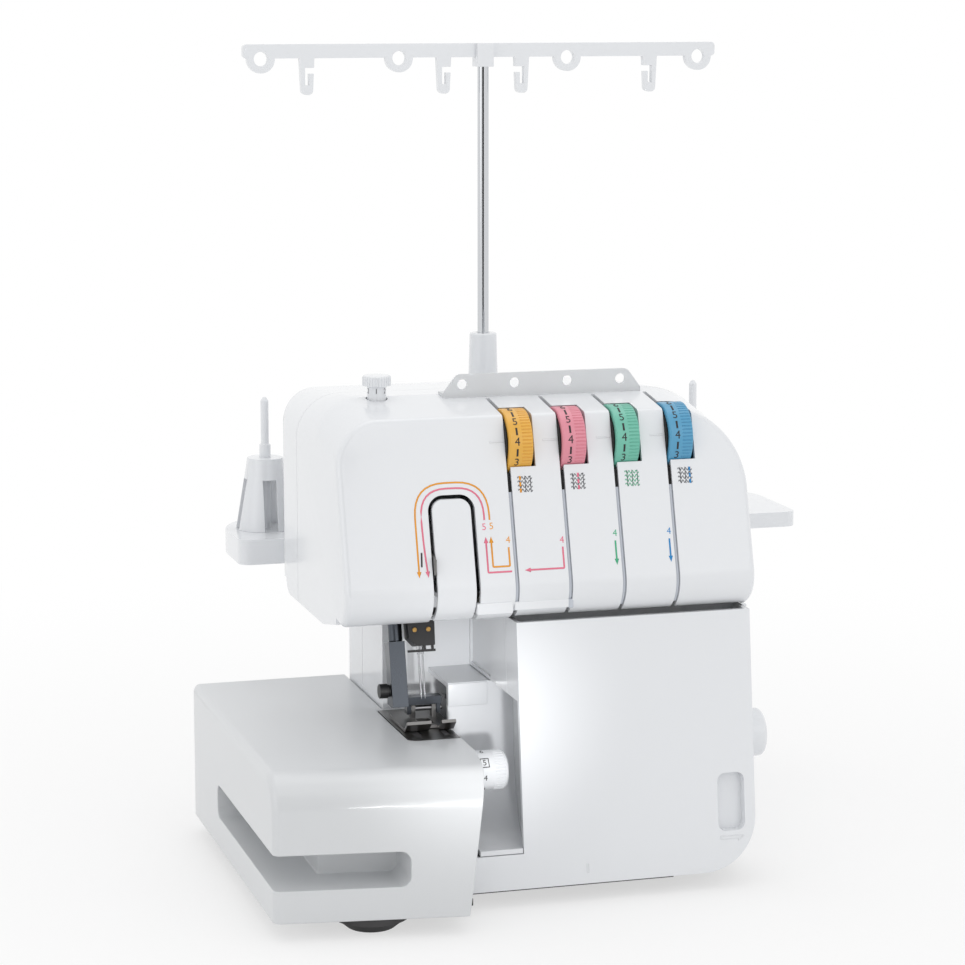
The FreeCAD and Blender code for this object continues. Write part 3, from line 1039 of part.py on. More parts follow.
def make_drive():
    wheel_left = HEAD_RIGHT + 2.4
    PARTS["main_shaft"] = rod("x", SHAFT_RADIUS, FRAME_LEFT - 2, wheel_left + WHEEL_WIDTH - 2, SHAFT_Y,
                              SHAFT_Z)
    groove = rod("x", PULLEY_RADIUS, PULLEY_LEFT, PULLEY_LEFT + PULLEY_WIDTH, SHAFT_Y, SHAFT_Z)
    flanges = [rod("x", PULLEY_RADIUS + 3, x, x + FLANGE, SHAFT_Y, SHAFT_Z)
               for x in (PULLEY_LEFT, PULLEY_LEFT + PULLEY_WIDTH - FLANGE)]
    bore = rod("x", SHAFT_RADIUS, PULLEY_LEFT - 1, PULLEY_LEFT + PULLEY_WIDTH + 1, SHAFT_Y, SHAFT_Z)
    PARTS["shaft_pulley"] = fuse([groove] + flanges).cut(bore)
    rim = rod("x", WHEEL_RADIUS, wheel_left, wheel_left + WHEEL_WIDTH, SHAFT_Y, SHAFT_Z)
    edges = [e for e in rim.Edges if e.BoundBox.XLength < 1e-6]
    rim = rim.makeFillet(4.0, edges)
    dish = Part.makeCone(WHEEL_RADIUS - 9, WHEEL_RADIUS - 6, 5,
                         V(wheel_left + WHEEL_WIDTH - 5, SHAFT_Y, SHAFT_Z), V(1, 0, 0))
    hollow = rod("x", WHEEL_RADIUS - 5, wheel_left - 1, wheel_left + 6, SHAFT_Y, SHAFT_Z).cut(
        rod("x", 9.0, wheel_left - 2, wheel_left + 7, SHAFT_Y, SHAFT_Z))
    seat = rod("x", SHAFT_RADIUS, wheel_left - 2, wheel_left + WHEEL_WIDTH - 2, SHAFT_Y, SHAFT_Z)
    ribs = [rod("x", 1.0, wheel_left + 4, wheel_left + WHEEL_WIDTH - 4,
                SHAFT_Y + (WHEEL_RADIUS + 0.3) * math.cos(math.radians(a)),
                SHAFT_Z + (WHEEL_RADIUS + 0.3) * math.sin(math.radians(a))) for a in range(0, 360, 12)]
    PARTS["handwheel"] = rim.cut(dish).cut(hollow).cut(seat).cut(Part.makeCompound(ribs))
    case = rod("x", MOTOR_RADIUS, MOTOR_LEFT, MOTOR_LEFT + MOTOR_LENGTH, MOTOR_Y, MOTOR_Z)
    cradle = box(MOTOR_LEFT + 6, MOTOR_LEFT + MOTOR_LENGTH - 6, MOTOR_Y - 12, MOTOR_Y + 12, FRAME_BED_TOP,
                 MOTOR_Z)
    mouth = rod("x", MOTOR_SHAFT_RADIUS + RUN, MOTOR_LEFT + MOTOR_LENGTH - 14,
                MOTOR_LEFT + MOTOR_LENGTH + 1, MOTOR_Y, MOTOR_Z)
    PARTS["motor"] = fuse([case, cradle]).cut(mouth)
    shaft = rod("x", MOTOR_SHAFT_RADIUS, MOTOR_LEFT + MOTOR_LENGTH - 13, PULLEY_LEFT + PULLEY_WIDTH,
                MOTOR_Y, MOTOR_Z)
    small = rod("x", MOTOR_PULLEY_RADIUS, PULLEY_LEFT, PULLEY_LEFT + PULLEY_WIDTH, MOTOR_Y, MOTOR_Z)
    small_flanges = [rod("x", MOTOR_PULLEY_RADIUS + 3, x, x + FLANGE, MOTOR_Y, MOTOR_Z)
                     for x in (PULLEY_LEFT, PULLEY_LEFT + PULLEY_WIDTH - FLANGE)]
    PARTS["motor_pulley"] = fuse([shaft, small] + small_flanges)

    def loop(extra):
        big = PULLEY_RADIUS + extra
        little = MOTOR_PULLEY_RADIUS + extra
        dy = MOTOR_Y - SHAFT_Y
        dz = MOTOR_Z - SHAFT_Z
        reach = math.hypot(dy, dz)
        heading = math.atan2(dz, dy)
        lean = math.acos((big - little) / reach)
        x0 = PULLEY_LEFT + FLANGE + GAP
        x1 = PULLEY_LEFT + PULLEY_WIDTH - FLANGE - GAP
        corners = []
        for radius, (cy, cz), sign in ((big, (SHAFT_Y, SHAFT_Z), 1), (little, (MOTOR_Y, MOTOR_Z), 1),
                                       (little, (MOTOR_Y, MOTOR_Z), -1), (big, (SHAFT_Y, SHAFT_Z), -1)):
            angle = heading + sign * lean
            corners.append((cy + radius * math.cos(angle), cz + radius * math.sin(angle)))
        body = prism(sharp(corners), "yz", x0, x1)
        return fuse([body, rod("x", big, x0, x1, SHAFT_Y, SHAFT_Z),
                     rod("x", little, x0, x1, MOTOR_Y, MOTOR_Z)])

    PARTS["drive_belt"] = loop(BELT_THICKNESS + 0.1).cut(loop(0.1))


def make_needle_train():
    y = NEEDLE_Y
    clamp_top = CLAMP_LOW + CLAMP_HEIGHT
    PARTS["needle_bar"] = tilt(rod("z", NEEDLE_BAR_RADIUS, bar_z(clamp_top), bar_z(NEEDLE_BAR_TOP),
                                   NEEDLE_X, y))
    half = CLAMP_WIDTH / 2
    clamp = prism([
        (NEEDLE_X - half, bar_z(clamp_top), 1), (NEEDLE_X + half, bar_z(clamp_top), 1),
        (NEEDLE_X + half - 0.5, bar_z(CLAMP_LOW), 0.5), (NEEDLE_X - half + 4, bar_z(CLAMP_LOW), 1),
        (NEEDLE_X - half + 0.5, bar_z(CLAMP_LOW + 4), 1)], "xz", y - 5, y + 4)
    needle_x = [NEEDLE_X - NEEDLE_SPREAD / 2, NEEDLE_X + NEEDLE_SPREAD / 2]
    sockets = [rod("z", 0.8, bar_z(CLAMP_LOW - 1), bar_z(CLAMP_LOW + 10), x, y) for x in needle_x]
    screw_holes = [rod("y", 1.2, y - 6, y - 2, x, bar_z(CLAMP_LOW + 8)) for x in (NEEDLE_X - 3.5,
                                                                                  NEEDLE_X + 3.5)]
    thread_bar = box(NEEDLE_X - half, NEEDLE_X + half, y - 3.5, y - 2.2, bar_z(CLAMP_LOW - 3),
                     bar_z(CLAMP_LOW - 1.8))
    arms = [box(x, x + 1.2, y - 3.5, y - 2.2, bar_z(CLAMP_LOW - 3), bar_z(CLAMP_LOW + 2))
            for x in (NEEDLE_X + half - 2, NEEDLE_X + 1)]
    clamp = fuse([clamp, thread_bar] + arms).cut(Part.makeCompound(sockets + screw_holes))
    PARTS["needle_clamp"] = tilt(clamp)
    screws = []
    for x in (NEEDLE_X - 3.5, NEEDLE_X + 3.5):
        screws.append(tilt(rod("y", 1.2, y - 5.6, y - 2, x, bar_z(CLAMP_LOW + 8))))
    PARTS["needle_clamp_screws"] = Part.makeCompound(screws)
    needles = []
    for x in needle_x:
        shank = rod("z", 0.8, bar_z(CLAMP_LOW - 4), bar_z(CLAMP_LOW + 10), x, y)
        blade = rod("z", 0.5, bar_z(NEEDLE_TIP + 3), bar_z(CLAMP_LOW - 4), x, y)
        point = cone_z(0.1, 0.5, bar_z(NEEDLE_TIP), bar_z(NEEDLE_TIP + 3), x, y)
        needles.append(tilt(fuse([shank, blade, point])))
    PARTS["needles"] = Part.makeCompound(needles)


def make_presser():
    y = NEEDLE_Y + PRESSER_BEHIND
    bed = BED_HEIGHT
    PARTS["presser_bar"] = tilt(rod("z", PRESSER_RADIUS, bar_z(ANKLE_TOP), bar_z(PRESSER_TOP), PRESSER_X,
                                    y))
    block = box(PRESSER_X - 7, PRESSER_X + 4, y - 7, y + 7, bar_z(GUIDE_LOW),
                bar_z(GUIDE_LOW + GUIDE_HEIGHT))
    lug = box(LIFTER_X - 3, LIFTER_X + 3, y, y + GUIDE_LUG, bar_z(GUIDE_LOW), bar_z(GUIDE_LOW + 5))
    bore = rod("z", PRESSER_RADIUS, bar_z(GUIDE_LOW - 1), bar_z(GUIDE_LOW + GUIDE_HEIGHT + 1), PRESSER_X, y)
    PARTS["presser_bar_guide"] = tilt(fuse([block, lug]).cut(bore))
    left = PRESSER_X - 4.6
    right = NEEDLE_X - CLAMP_WIDTH / 2 - 0.7
    upper = tilt(box(left, right, y - 4.5, y + 4.5, bar_z(ANKLE_FOOT), bar_z(ANKLE_TOP)))
    beam = box(left, ANKLE_RIGHT, FOOT_PIN_Y - 3, FOOT_PIN_Y + 3,
               bed + ANKLE_BEAM[0], bed + ANKLE_BEAM[1])
    lugs = [box(x, x + 2, FOOT_PIN_Y - 2.6, FOOT_PIN_Y + 2.6, bed + FOOT_PIN_Z - 2.4,
                bed + 9) for x in ANKLE_LUGS]
    # the lower end of the leaning shank stops at the cross beam
    under = box(left - 5, right + 5, y - 20, y + 20, bed - 5, bed + ANKLE_BEAM[0])
    screw_z = bar_z(ANKLE_SCREW_HEIGHT)
    screw_bore = tilt(rod("x", 1.6, left - 1, left + 4, y, screw_z))
    pin_bore = rod("x", FOOT_PIN_RADIUS, ANKLE_LUGS[0] - 1, ANKLE_LUGS[1] + 3, FOOT_PIN_Y, bed + FOOT_PIN_Z)
    PARTS["presser_ankle"] = fuse([upper.cut(under), beam] + lugs).cut(screw_bore).cut(pin_bore)
    head = rod("x", ANKLE_SCREW_RADIUS, left - 5.5, left - 1.2, y, screw_z)
    neck = rod("x", 1.6, left - 1.3, left + 4, y, screw_z)
    washer = rod("x", 3.0, left - 1.2, left, y, screw_z)
    PARTS["ankle_screw"] = tilt(fuse([head, neck, washer]))
    PARTS["presser_foot_pin"] = rod("x", FOOT_PIN_RADIUS, ANKLE_LUGS[0], ANKLE_LUGS[1] + 3.3, FOOT_PIN_Y,
                                    bed + FOOT_PIN_Z)
    low = bed + FOOT_GAP
    rise = math.tan(math.radians(HEEL_ANGLE))
    heel = FOOT_BACK - FOOT_PIN_Y
    profile = sharp([
        (FOOT_FRONT, low + TOE_RISE), (FOOT_FRONT + 5, low), (FOOT_PIN_Y, low), (FOOT_BACK,
                                                                                 low + heel * rise),
        (FOOT_BACK, low + heel * rise + SOLE_THICKNESS), (FOOT_PIN_Y, low + SOLE_THICKNESS),
        (FOOT_FRONT + 5.6, low + SOLE_THICKNESS), (FOOT_FRONT + 0.6, low + TOE_RISE + SOLE_THICKNESS)])
    sole = prism(profile, "yz", FOOT_LEFT, FOOT_RIGHT)
    ears = [box(x, x + 2, FOOT_PIN_Y - 2.2, FOOT_PIN_Y + 2.2, low + 0.5,
                bed + FOOT_PIN_Z + 2.0) for x in FOOT_EARS]
    slot = box(NEEDLE_X - 3.4, NEEDLE_X + 3.4, NEEDLE_Y - 4, FOOT_PIN_Y - 3, bed, bed + 10)
    toes = box(NEEDLE_X - 1.2, NEEDLE_X + 4, FOOT_FRONT - 1, NEEDLE_Y - 8, bed, bed + 10)
    pin = rod("x", FOOT_PIN_RADIUS + RUN, FOOT_EARS[0] - 1, FOOT_EARS[1] + 3, FOOT_PIN_Y, bed + FOOT_PIN_Z)
    PARTS["presser_foot"] = fuse([sole] + ears).cut(Part.makeCompound([slot, toes, pin]))
    hub = rod("x", 5.5, LIFTER_X - LIFTER_WIDTH / 2, LIFTER_X + LIFTER_WIDTH / 2, LIFTER_Y, LIFTER_Z)
    arm = prism(sharp([
        (LIFTER_Y, LIFTER_Z - 4), (LIFTER_Y + 30, LIFTER_Z - 4), (LIFTER_END_Y, LIFTER_Z - 9),
        (LIFTER_END_Y, LIFTER_Z - 3), (LIFTER_Y + 30, LIFTER_Z + 2), (LIFTER_Y, LIFTER_Z + 2)]),
        "yz", LIFTER_X - LIFTER_WIDTH / 2, LIFTER_X + LIFTER_WIDTH / 2)
    hole = rod("x", LIFTER_PIN_RADIUS + RUN, LIFTER_X - 10, LIFTER_X + 10, LIFTER_Y, LIFTER_Z)
    PARTS["presser_lifter"] = fuse([hub, arm]).cut(hole)


def make_loopers():
    x, z = LOWER_PIVOT
    y0, y1 = LOWER_LOOPER_Y
    lower = prism(sharp([(x - 3, z), (x + 3, z), (x + 3, z + 33), (x - 14, z + 34), (x - 17, z + 32.5),
                         (x - 12, z + 30), (x - 3, z + 27)]), "xz", y0, y1)
    hub = rod("y", LOOPER_HUB_RADIUS, y0, y1, x, z)
    bore = rod("y", LOOPER_PIN_RADIUS + RUN, y0 - 1, y1 + 1, x, z)
    PARTS["lower_looper"] = fuse([lower, hub]).cut(bore)
    x, z = UPPER_PIVOT
    y0, y1 = UPPER_LOOPER_Y
    upper = prism(sharp([(x - 3, z - 2), (x + 3, z + 2), (x - 14, z + 35), (x - 17, z + 37.4),
                         (x - 23, z + 38.4),
                         (x - 23, z + 36.8), (x - 18, z + 34.2)]), "xz", y0, y1)
    hub = rod("y", LOOPER_HUB_RADIUS, y0, y1, x, z)
    bore = rod("y", LOOPER_PIN_RADIUS + RUN, y0 - 1, y1 + 1, x, z)
    PARTS["upper_looper"] = fuse([upper, hub]).cut(bore)
    right = TABLE_RIGHT - GAP
    PARTS["lower_knife"] = box(ARM_RIGHT, right, KNIFE_FRONT, KNIFE_BACK, BED_HEIGHT - 18, BED_HEIGHT - 0.2)
    blade = box(right + 0.1, right + 0.1 + KNIFE_THICKNESS, KNIFE_FRONT + 1, KNIFE_BACK - 1,
                BED_HEIGHT - 22, BED_HEIGHT - 1)
    PARTS["upper_knife"] = blade


def make_tension():
    PARTS["tension_shaft"] = rod("x", TENSION_SHAFT_RADIUS, TENSION_LEFT, TENSION_EARS[-1] + 4, DIAL_Y,
                                 DIAL_Z)
    discs = []
    for number, centre in enumerate(DIAL_CENTRES, 1):
        x0 = centre - DIAL_WIDTH / 2
        x1 = centre + DIAL_WIDTH / 2
        dial = rod("x", DIAL_RADIUS, x0, x1, DIAL_Y, DIAL_Z)
        rims = [e for e in dial.Edges if e.BoundBox.XLength < 1e-6]
        dial = dial.makeFillet(0.8, rims)
        grooves = []
        for step in range(DIAL_RIBS):
            angle = 2 * math.pi * step / DIAL_RIBS
            rib_y = DIAL_Y + DIAL_RADIUS * math.cos(angle)
            rib_z = DIAL_Z + DIAL_RADIUS * math.sin(angle)
            grooves.append(rod("x", DIAL_RIB_RADIUS, centre + 0.5, x1 + 1, rib_y, rib_z))
        bore = rod("x", TENSION_SHAFT_RADIUS + RUN, x0 - 1, x1 + 1, DIAL_Y, DIAL_Z)
        PARTS["tension_dial_%d" % number] = dial.cut(Part.makeCompound(grooves + [bore]))
        for offset in DISC_OFFSETS:
            start = centre + offset
            disc = rod("x", DISC_RADIUS, start, start + DISC_THICKNESS, DIAL_Y, DIAL_Z)
            discs.append(disc.cut(rod("x", TENSION_SHAFT_RADIUS, start - 1, start + 2, DIAL_Y, DIAL_Z)))
    PARTS["tension_discs"] = Part.makeCompound(discs)
    top = HEAD_TOP - CREST_SLOPE * (CREST_Y - GUIDE_Y)
    plate = prism([(GUIDE_LEFT, top - 1, 0), (GUIDE_RIGHT, top - 1, 0), (GUIDE_RIGHT, top + 2, 0),
                   (GUIDE_RIGHT - 7, top + GUIDE_PLATE_HEIGHT, 4), (GUIDE_LEFT + 7,
                                                                    top + GUIDE_PLATE_HEIGHT, 4),
                   (GUIDE_LEFT, top + 2, 0)], "xz", GUIDE_Y, GUIDE_Y + GUIDE_PLATE_THICKNESS)
    tread = box(GUIDE_LEFT, GUIDE_RIGHT, GUIDE_Y, GUIDE_Y + GUIDE_TREAD, top - 1, HEAD_TOP + 1.2)
    holes = [rod("y", GUIDE_HOLE_RADIUS, GUIDE_Y - 1, GUIDE_Y + 4, c + GUIDE_HOLE_SHIFT, top + 6.5)
             for c in DIAL_CENTRES]
    PARTS["thread_guide_plate"] = fuse([plate, tread]).cut(Part.makeCompound(holes)).cut(HEAD_SOLID)
    x0 = TONGUE_LEFT + 0.4
    lever = prism(sharp([
        (TAKE_UP_Y + 3, TAKE_UP_Z + 3), (TAKE_UP_Y + 3, TAKE_UP_Z - 4), (TAKE_UP_Y - 28, TAKE_UP_Z - 22),
        (TAKE_UP_Y - 31.5, TAKE_UP_Z - 19), (TAKE_UP_Y - 31.5, TAKE_UP_Z - 12), (TAKE_UP_Y - 26,
                                                                                 TAKE_UP_Z - 10),
    ]), "yz", x0, x0 + TAKE_UP_THICKNESS)
    pin = rod("x", TAKE_UP_PIN_RADIUS, x0, NEEDLE_X + 1, TAKE_UP_Y, TAKE_UP_Z)
    PARTS["take_up_lever"] = fuse([lever, pin])


def make_knobs():
    top = HEAD_TOP
    cap_top = top + PRESSURE_RISE
    cap_low = cap_top - PRESSURE_CAP_HEIGHT
    stem_low = top - PRESSURE_STEM_DROP
    cap = rod("z", PRESSURE_CAP_RADIUS, cap_low, cap_top, PRESSURE_X, PRESSURE_Y)
    rim = [e for e in cap.Edges if e.BoundBox.ZMin > cap_top - 0.01]
    cap = cap.makeFillet(1.2, rim)
    stem = rod("z", PRESSURE_STEM_RADIUS, stem_low, cap_low, PRESSURE_X, PRESSURE_Y)
    screw = rod("z", PRESSURE_SCREW_RADIUS, KNOB_SEAT_LOW - 4, stem_low, PRESSURE_X, PRESSURE_Y)
    ribs = [rod("z", DIAL_RIB_RADIUS, cap_low - 1, cap_top + 1,
                PRESSURE_X + PRESSURE_CAP_RADIUS * math.cos(math.radians(a)),
                PRESSURE_Y + PRESSURE_CAP_RADIUS * math.sin(math.radians(a))) for a in range(0, 360, 12)]
    PARTS["pressure_knob"] = fuse([cap, stem, screw]).cut(Part.makeCompound(ribs))
    dial = rod("x", WIDTH_DIAL_RADIUS, WIDTH_DIAL_LEFT, WIDTH_DIAL_RIGHT, WIDTH_DIAL_Y, WIDTH_DIAL_Z)
    rim = [e for e in dial.Edges if e.BoundBox.XMin > WIDTH_DIAL_RIGHT - 0.01]
    dial = dial.makeFillet(2.5, rim)
    grooves = [rod("x", 0.4, WIDTH_DIAL_RIGHT - 7, WIDTH_DIAL_RIGHT - 2,
                   WIDTH_DIAL_Y + WIDTH_DIAL_RADIUS * math.cos(math.radians(a)),
                   WIDTH_DIAL_Z + WIDTH_DIAL_RADIUS * math.sin(math.radians(a))) for a in range(0, 360, 10)]
    shaft = rod("x", KNOB_SHAFT_RADIUS, ARM_RIGHT - 12, WIDTH_DIAL_LEFT, WIDTH_DIAL_Y, WIDTH_DIAL_Z)
    PARTS["stitch_width_dial"] = fuse([dial.cut(Part.makeCompound(grooves)), shaft])
    front = NEEDLE_Y - LAMP_FRONT
    back = NEEDLE_Y + LAMP_REAR
    ceiling = HEAD_BOTTOM + WALL
    lens = box(LAMP_X[0] + GAP, LAMP_X[1] - GAP, front + GAP, back - GAP, HEAD_BOTTOM + 0.4, ceiling)
    board = box(LAMP_X[0] - LAMP_RIM, LAMP_X[1] + LAMP_RIM, front - LAMP_RIM, back + LAMP_RIM,
                ceiling, ceiling + 1.6)
    PARTS["lamp"] = fuse([lens, board])


def make_spool_stand():
    low = STAND_TOP - STAND_THICKNESS
    deep = STAND_TOP - STAND_LEFT_THICKNESS
    plate = prism([
        (STAND_LEFT, STAND_FRONT, STAND_FRONT_CORNER), (STAND_RIGHT, STAND_FRONT, STAND_FRONT_CORNER),
        (STAND_RIGHT, STAND_BACK, STAND_CORNER), (STAND_LEFT, STAND_BACK, STAND_CORNER_LEFT)],
        "xy", deep, STAND_TOP)
    plate = plate.cut(box(STAND_STEP_X, STAND_RIGHT + 1, STAND_FRONT - 1, STAND_BACK + 1, deep - 1, low))
    flange = box(-STAND_FLANGE, STAND_FLANGE, CASE_BACK, STAND_FRONT + 4, low - STAND_FLANGE_DROP,
                 STAND_TOP - 2)
    webs = [box(x - 2, x + 2, STAND_FRONT, SPOOL_Y, low - STAND_WEB_DROP, low) for x in STAND_WEBS]
    cuts = [rod("z", SEAT_RADIUS, STAND_TOP - SEAT_DEPTH, STAND_TOP + 1, x, SPOOL_Y) for x in SPOOL_PLACES]
    cuts += [rod("z", PIN_COLLAR_RADIUS, deep - 1, STAND_TOP + 1, x, SPOOL_Y) for x in SPOOL_PLACES]
    cuts.append(rod("z", SOCKET_TAIL_RADIUS, SOCKET_BOTTOM, STAND_TOP + 1, 0, SPOOL_Y))
    PARTS["spool_stand"] = fuse([plate, flange] + webs).cut(Part.makeCompound(cuts))
    seat = STAND_TOP - SEAT_DEPTH
    pins = []
    cones = []
    for x in SPOOL_PLACES:
        collar_top = seat + CONE_HEIGHT + PIN_COLLAR_RISE
        pin = fuse([rod("z", PIN_COLLAR_RADIUS, deep if x < STAND_STEP_X else low, collar_top, x, SPOOL_Y),
                    rod("z", PIN_RADIUS, collar_top, PIN_TOP - 2, x, SPOOL_Y),
                    cone_z(PIN_RADIUS, 0.8, PIN_TOP - 2, PIN_TOP, x, SPOOL_Y)])
        pins.append(pin)
        top = seat + CONE_HEIGHT
        cone = cone_z(CONE_FOOT_RADIUS, CONE_TOP_RADIUS, seat, top, x, SPOOL_Y)
        hollow = cone_z(CONE_FOOT_RADIUS - CONE_WALL, CONE_TOP_RADIUS - CONE_WALL, seat - 1, top - 3, x,
                        SPOOL_Y)
        bore = rod("z", PIN_COLLAR_RADIUS, seat, top + 1, x, SPOOL_Y)
        half = CONE_WINDOW / 2
        reach = 2 * CONE_FOOT_RADIUS
        windows = [box(x - half, x + half, SPOOL_Y - reach, SPOOL_Y + reach, seat - 1, top - 11),
                   box(x - reach, x + reach, SPOOL_Y - half, SPOOL_Y + half, seat - 1, top - 11)]
        cones.append(cone.cut(Part.makeCompound([hollow, bore])).cut(Part.makeCompound(windows)))
    PARTS["spool_pins"] = Part.makeCompound(pins)
    PARTS["cone_holders"] = Part.makeCompound(cones)
    socket = fuse([cone_z(SOCKET_FOOT_RADIUS, SOCKET_TOP_RADIUS, STAND_TOP, SOCKET_TOP, 0, SPOOL_Y),
                   rod("z", SOCKET_TAIL_RADIUS, SOCKET_BOTTOM, STAND_TOP, 0, SPOOL_Y)])
    bore = rod("z", MAST_RADIUS + RUN, SOCKET_BOTTOM + 2, SOCKET_TOP + 1, 0, SPOOL_Y)
    PARTS["mast_socket"] = socket.cut(bore)
    PARTS["mast"] = rod("z", MAST_RADIUS, MAST_FOOT, TREE_TOP - 2, 0, SPOOL_Y)


def make_thread_tree():
    y0 = SPOOL_Y - TREE_THICKNESS / 2
    y1 = SPOOL_Y + TREE_THICKNESS / 2
    low = TREE_TOP - TREE_HEIGHT
    bar = prism([(-TREE_HALF, low, 2), (TREE_HALF, low, 2), (TREE_HALF, TREE_TOP, 2),
                 (-TREE_HALF, TREE_TOP, 2)], "xz", y0, y1)
    eye_z = TREE_TOP - EYELET_RIM - 0.2
    rims = [rod("y", EYELET_RIM, y0, y1, x, eye_z) for x in EYELET_PLACES]
    hooks = []
    for x in HOOK_PLACES:
        hooks.append(prism([(x - HOOK_WIDTH / 2, low + 1, 0), (x + HOOK_WIDTH / 2, low + 1, 0),
                            (x + HOOK_WIDTH / 2 - 1, low - HOOK_DROP, 2.5), (x - HOOK_WIDTH / 2 + 1,
                                                                             low - HOOK_DROP, 2.5)],
                           "xz", y0, y1))
    hub = box(-4.5, 4.5, SPOOL_Y - 5, SPOOL_Y + 5, low - 5, TREE_TOP)
    tree = fuse([bar] + rims + hooks + [hub])
    cuts = [rod("y", EYELET_RADIUS, y0 - 1, y1 + 1, x, eye_z) for x in EYELET_PLACES]
    for x in HOOK_PLACES:
        side = 1 if x < 0 else -1
        slot = box(-1.1, 1.1, y0 - 1, y1 + 1, low - HOOK_DROP + 5, low - 5)
        mouth = box(0, HOOK_WIDTH, y0 - 1, y1 + 1, low - 8, low - 5)
        if side < 0:
            mouth = box(-HOOK_WIDTH, 0, y0 - 1, y1 + 1, low - 8, low - 5)
        opening = slot.fuse(mouth)
        opening.translate(V(x, 0, 0))
        cuts.append(opening)
    cuts.append(rod("z", MAST_RADIUS + RUN, low - 6, TREE_TOP - 2 + GAP, 0, SPOOL_Y))
    PARTS["thread_tree"] = tree.cut(Part.makeCompound(cuts))


HEAD_SOLID = fuse([round_face_rim(head_block(0)), head_skirt()])
HEAD_HOLLOW = head_block(WALL)

make_base()
make_table()
make_free_arm()
make_needle_plate()
make_head(HEAD_SOLID, HEAD_HOLLOW)
make_rear(HEAD_SOLID, HEAD_HOLLOW)
make_column()
make_side_controls()
make_cover()
make_guard()
make_frame()
make_drive()
make_needle_train()
make_presser()
make_loopers()
make_tension()
make_knobs()
make_spool_stand()
make_thread_tree()

os.makedirs("parts", exist_ok=True)
for name, shape in PARTS.items():
    shape.exportStep(os.path.join("parts", name + ".step"))
    print("%-22s solids %2d  volume %10.1f" % (name, len(shape.Solids), shape.Volume))
print("pieces:", len(PARTS))
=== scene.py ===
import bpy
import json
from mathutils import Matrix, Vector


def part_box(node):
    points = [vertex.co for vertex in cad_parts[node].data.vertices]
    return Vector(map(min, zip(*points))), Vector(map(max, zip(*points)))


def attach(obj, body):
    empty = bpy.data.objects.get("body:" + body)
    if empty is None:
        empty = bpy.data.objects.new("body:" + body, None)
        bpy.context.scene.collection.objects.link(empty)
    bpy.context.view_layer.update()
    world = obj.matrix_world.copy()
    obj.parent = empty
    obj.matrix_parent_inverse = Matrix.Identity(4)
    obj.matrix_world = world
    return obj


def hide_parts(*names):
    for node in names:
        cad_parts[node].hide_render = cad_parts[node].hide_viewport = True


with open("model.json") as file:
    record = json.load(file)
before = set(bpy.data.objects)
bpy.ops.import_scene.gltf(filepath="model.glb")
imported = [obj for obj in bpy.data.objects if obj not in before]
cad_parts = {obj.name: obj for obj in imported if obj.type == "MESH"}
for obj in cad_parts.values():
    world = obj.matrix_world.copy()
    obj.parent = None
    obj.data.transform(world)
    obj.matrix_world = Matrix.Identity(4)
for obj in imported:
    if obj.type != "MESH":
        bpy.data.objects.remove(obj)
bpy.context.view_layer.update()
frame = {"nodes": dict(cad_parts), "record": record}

import json
import math

import bmesh
import bpy
from mathutils import Matrix, Vector

# Rubber feet: four soft black domes, each moulded in one piece and pressed with a stud into the
# base plate.
MM = 0.001
BODIES = frame["record"]["behaviour"]["bodies"]
body_of = {node: body for body, nodes in BODIES.items() for node in nodes}
CLOUD_SCALE = 14.0
CLOUD_DETAIL = 3.0
GRAIN_DETAIL = 2.0
GRAIN_STRENGTH = 0.6
GLOSS_SPREAD = 0.15
COAT_ROUGHNESS = 0.08
SAME_POINT = 0.001 * MM
FLAT_ANGLE = math.radians(0.4)


def tint(red, green, blue):
    """Linear colour of an 8-bit screen colour."""
    levels = []
    for value in (red, green, blue):
        value = value / 255
        levels.append(value / 12.92 if value <= 0.04045 else ((value + 0.055) / 1.055) ** 2.4)
    return (*levels, 1.0)


def moulded(name, colour, roughness, grain=900.0, depth=0.00002, coat=0.0, spread=0.03, metallic=0.0):
    """Moulded or painted surface: a fine grain, faint cloudy tone and uneven gloss."""
    material = bpy.data.materials.new(name)
    material.use_nodes = True
    nodes = material.node_tree.nodes
    links = material.node_tree.links
    shader = nodes["Principled BSDF"]
    shader.inputs["Coat Weight"].default_value = coat
    shader.inputs["Coat Roughness"].default_value = COAT_ROUGHNESS
    shader.inputs["Metallic"].default_value = metallic
    place = nodes.new("ShaderNodeTexCoord")
    cloud = nodes.new("ShaderNodeTexNoise")
    cloud.inputs["Scale"].default_value = CLOUD_SCALE
    cloud.inputs["Detail"].default_value = CLOUD_DETAIL
    links.new(place.outputs["Object"], cloud.inputs["Vector"])
    tone = nodes.new("ShaderNodeMix")
    tone.data_type = "RGBA"
    tone.inputs["A"].default_value = tuple(c * (1 - spread) for c in colour[:3]) + (1.0,)
    tone.inputs["B"].default_value = tuple(min(1.0, c * (1 + spread)) for c in colour[:3]) + (1.0,)
    links.new(cloud.outputs["Fac"], tone.inputs["Factor"])
    links.new(tone.outputs["Result"], shader.inputs["Base Color"])
    gloss = nodes.new("ShaderNodeMapRange")
    gloss.inputs["To Min"].default_value = roughness * (1 - GLOSS_SPREAD)
    gloss.inputs["To Max"].default_value = roughness * (1 + GLOSS_SPREAD)
    links.new(cloud.outputs["Fac"], gloss.inputs["Value"])
    links.new(gloss.outputs["Result"], shader.inputs["Roughness"])
    fine = nodes.new("ShaderNodeTexNoise")
    fine.inputs["Scale"].default_value = grain
    fine.inputs["Detail"].default_value = GRAIN_DETAIL
    links.new(place.outputs["Object"], fine.inputs["Vector"])
    bump = nodes.new("ShaderNodeBump")
    bump.inputs["Distance"].default_value = depth
    bump.inputs["Strength"].default_value = GRAIN_STRENGTH
    links.new(fine.outputs["Fac"], bump.inputs["Height"])
    links.new(bump.outputs["Normal"], shader.inputs["Normal"])
    return material


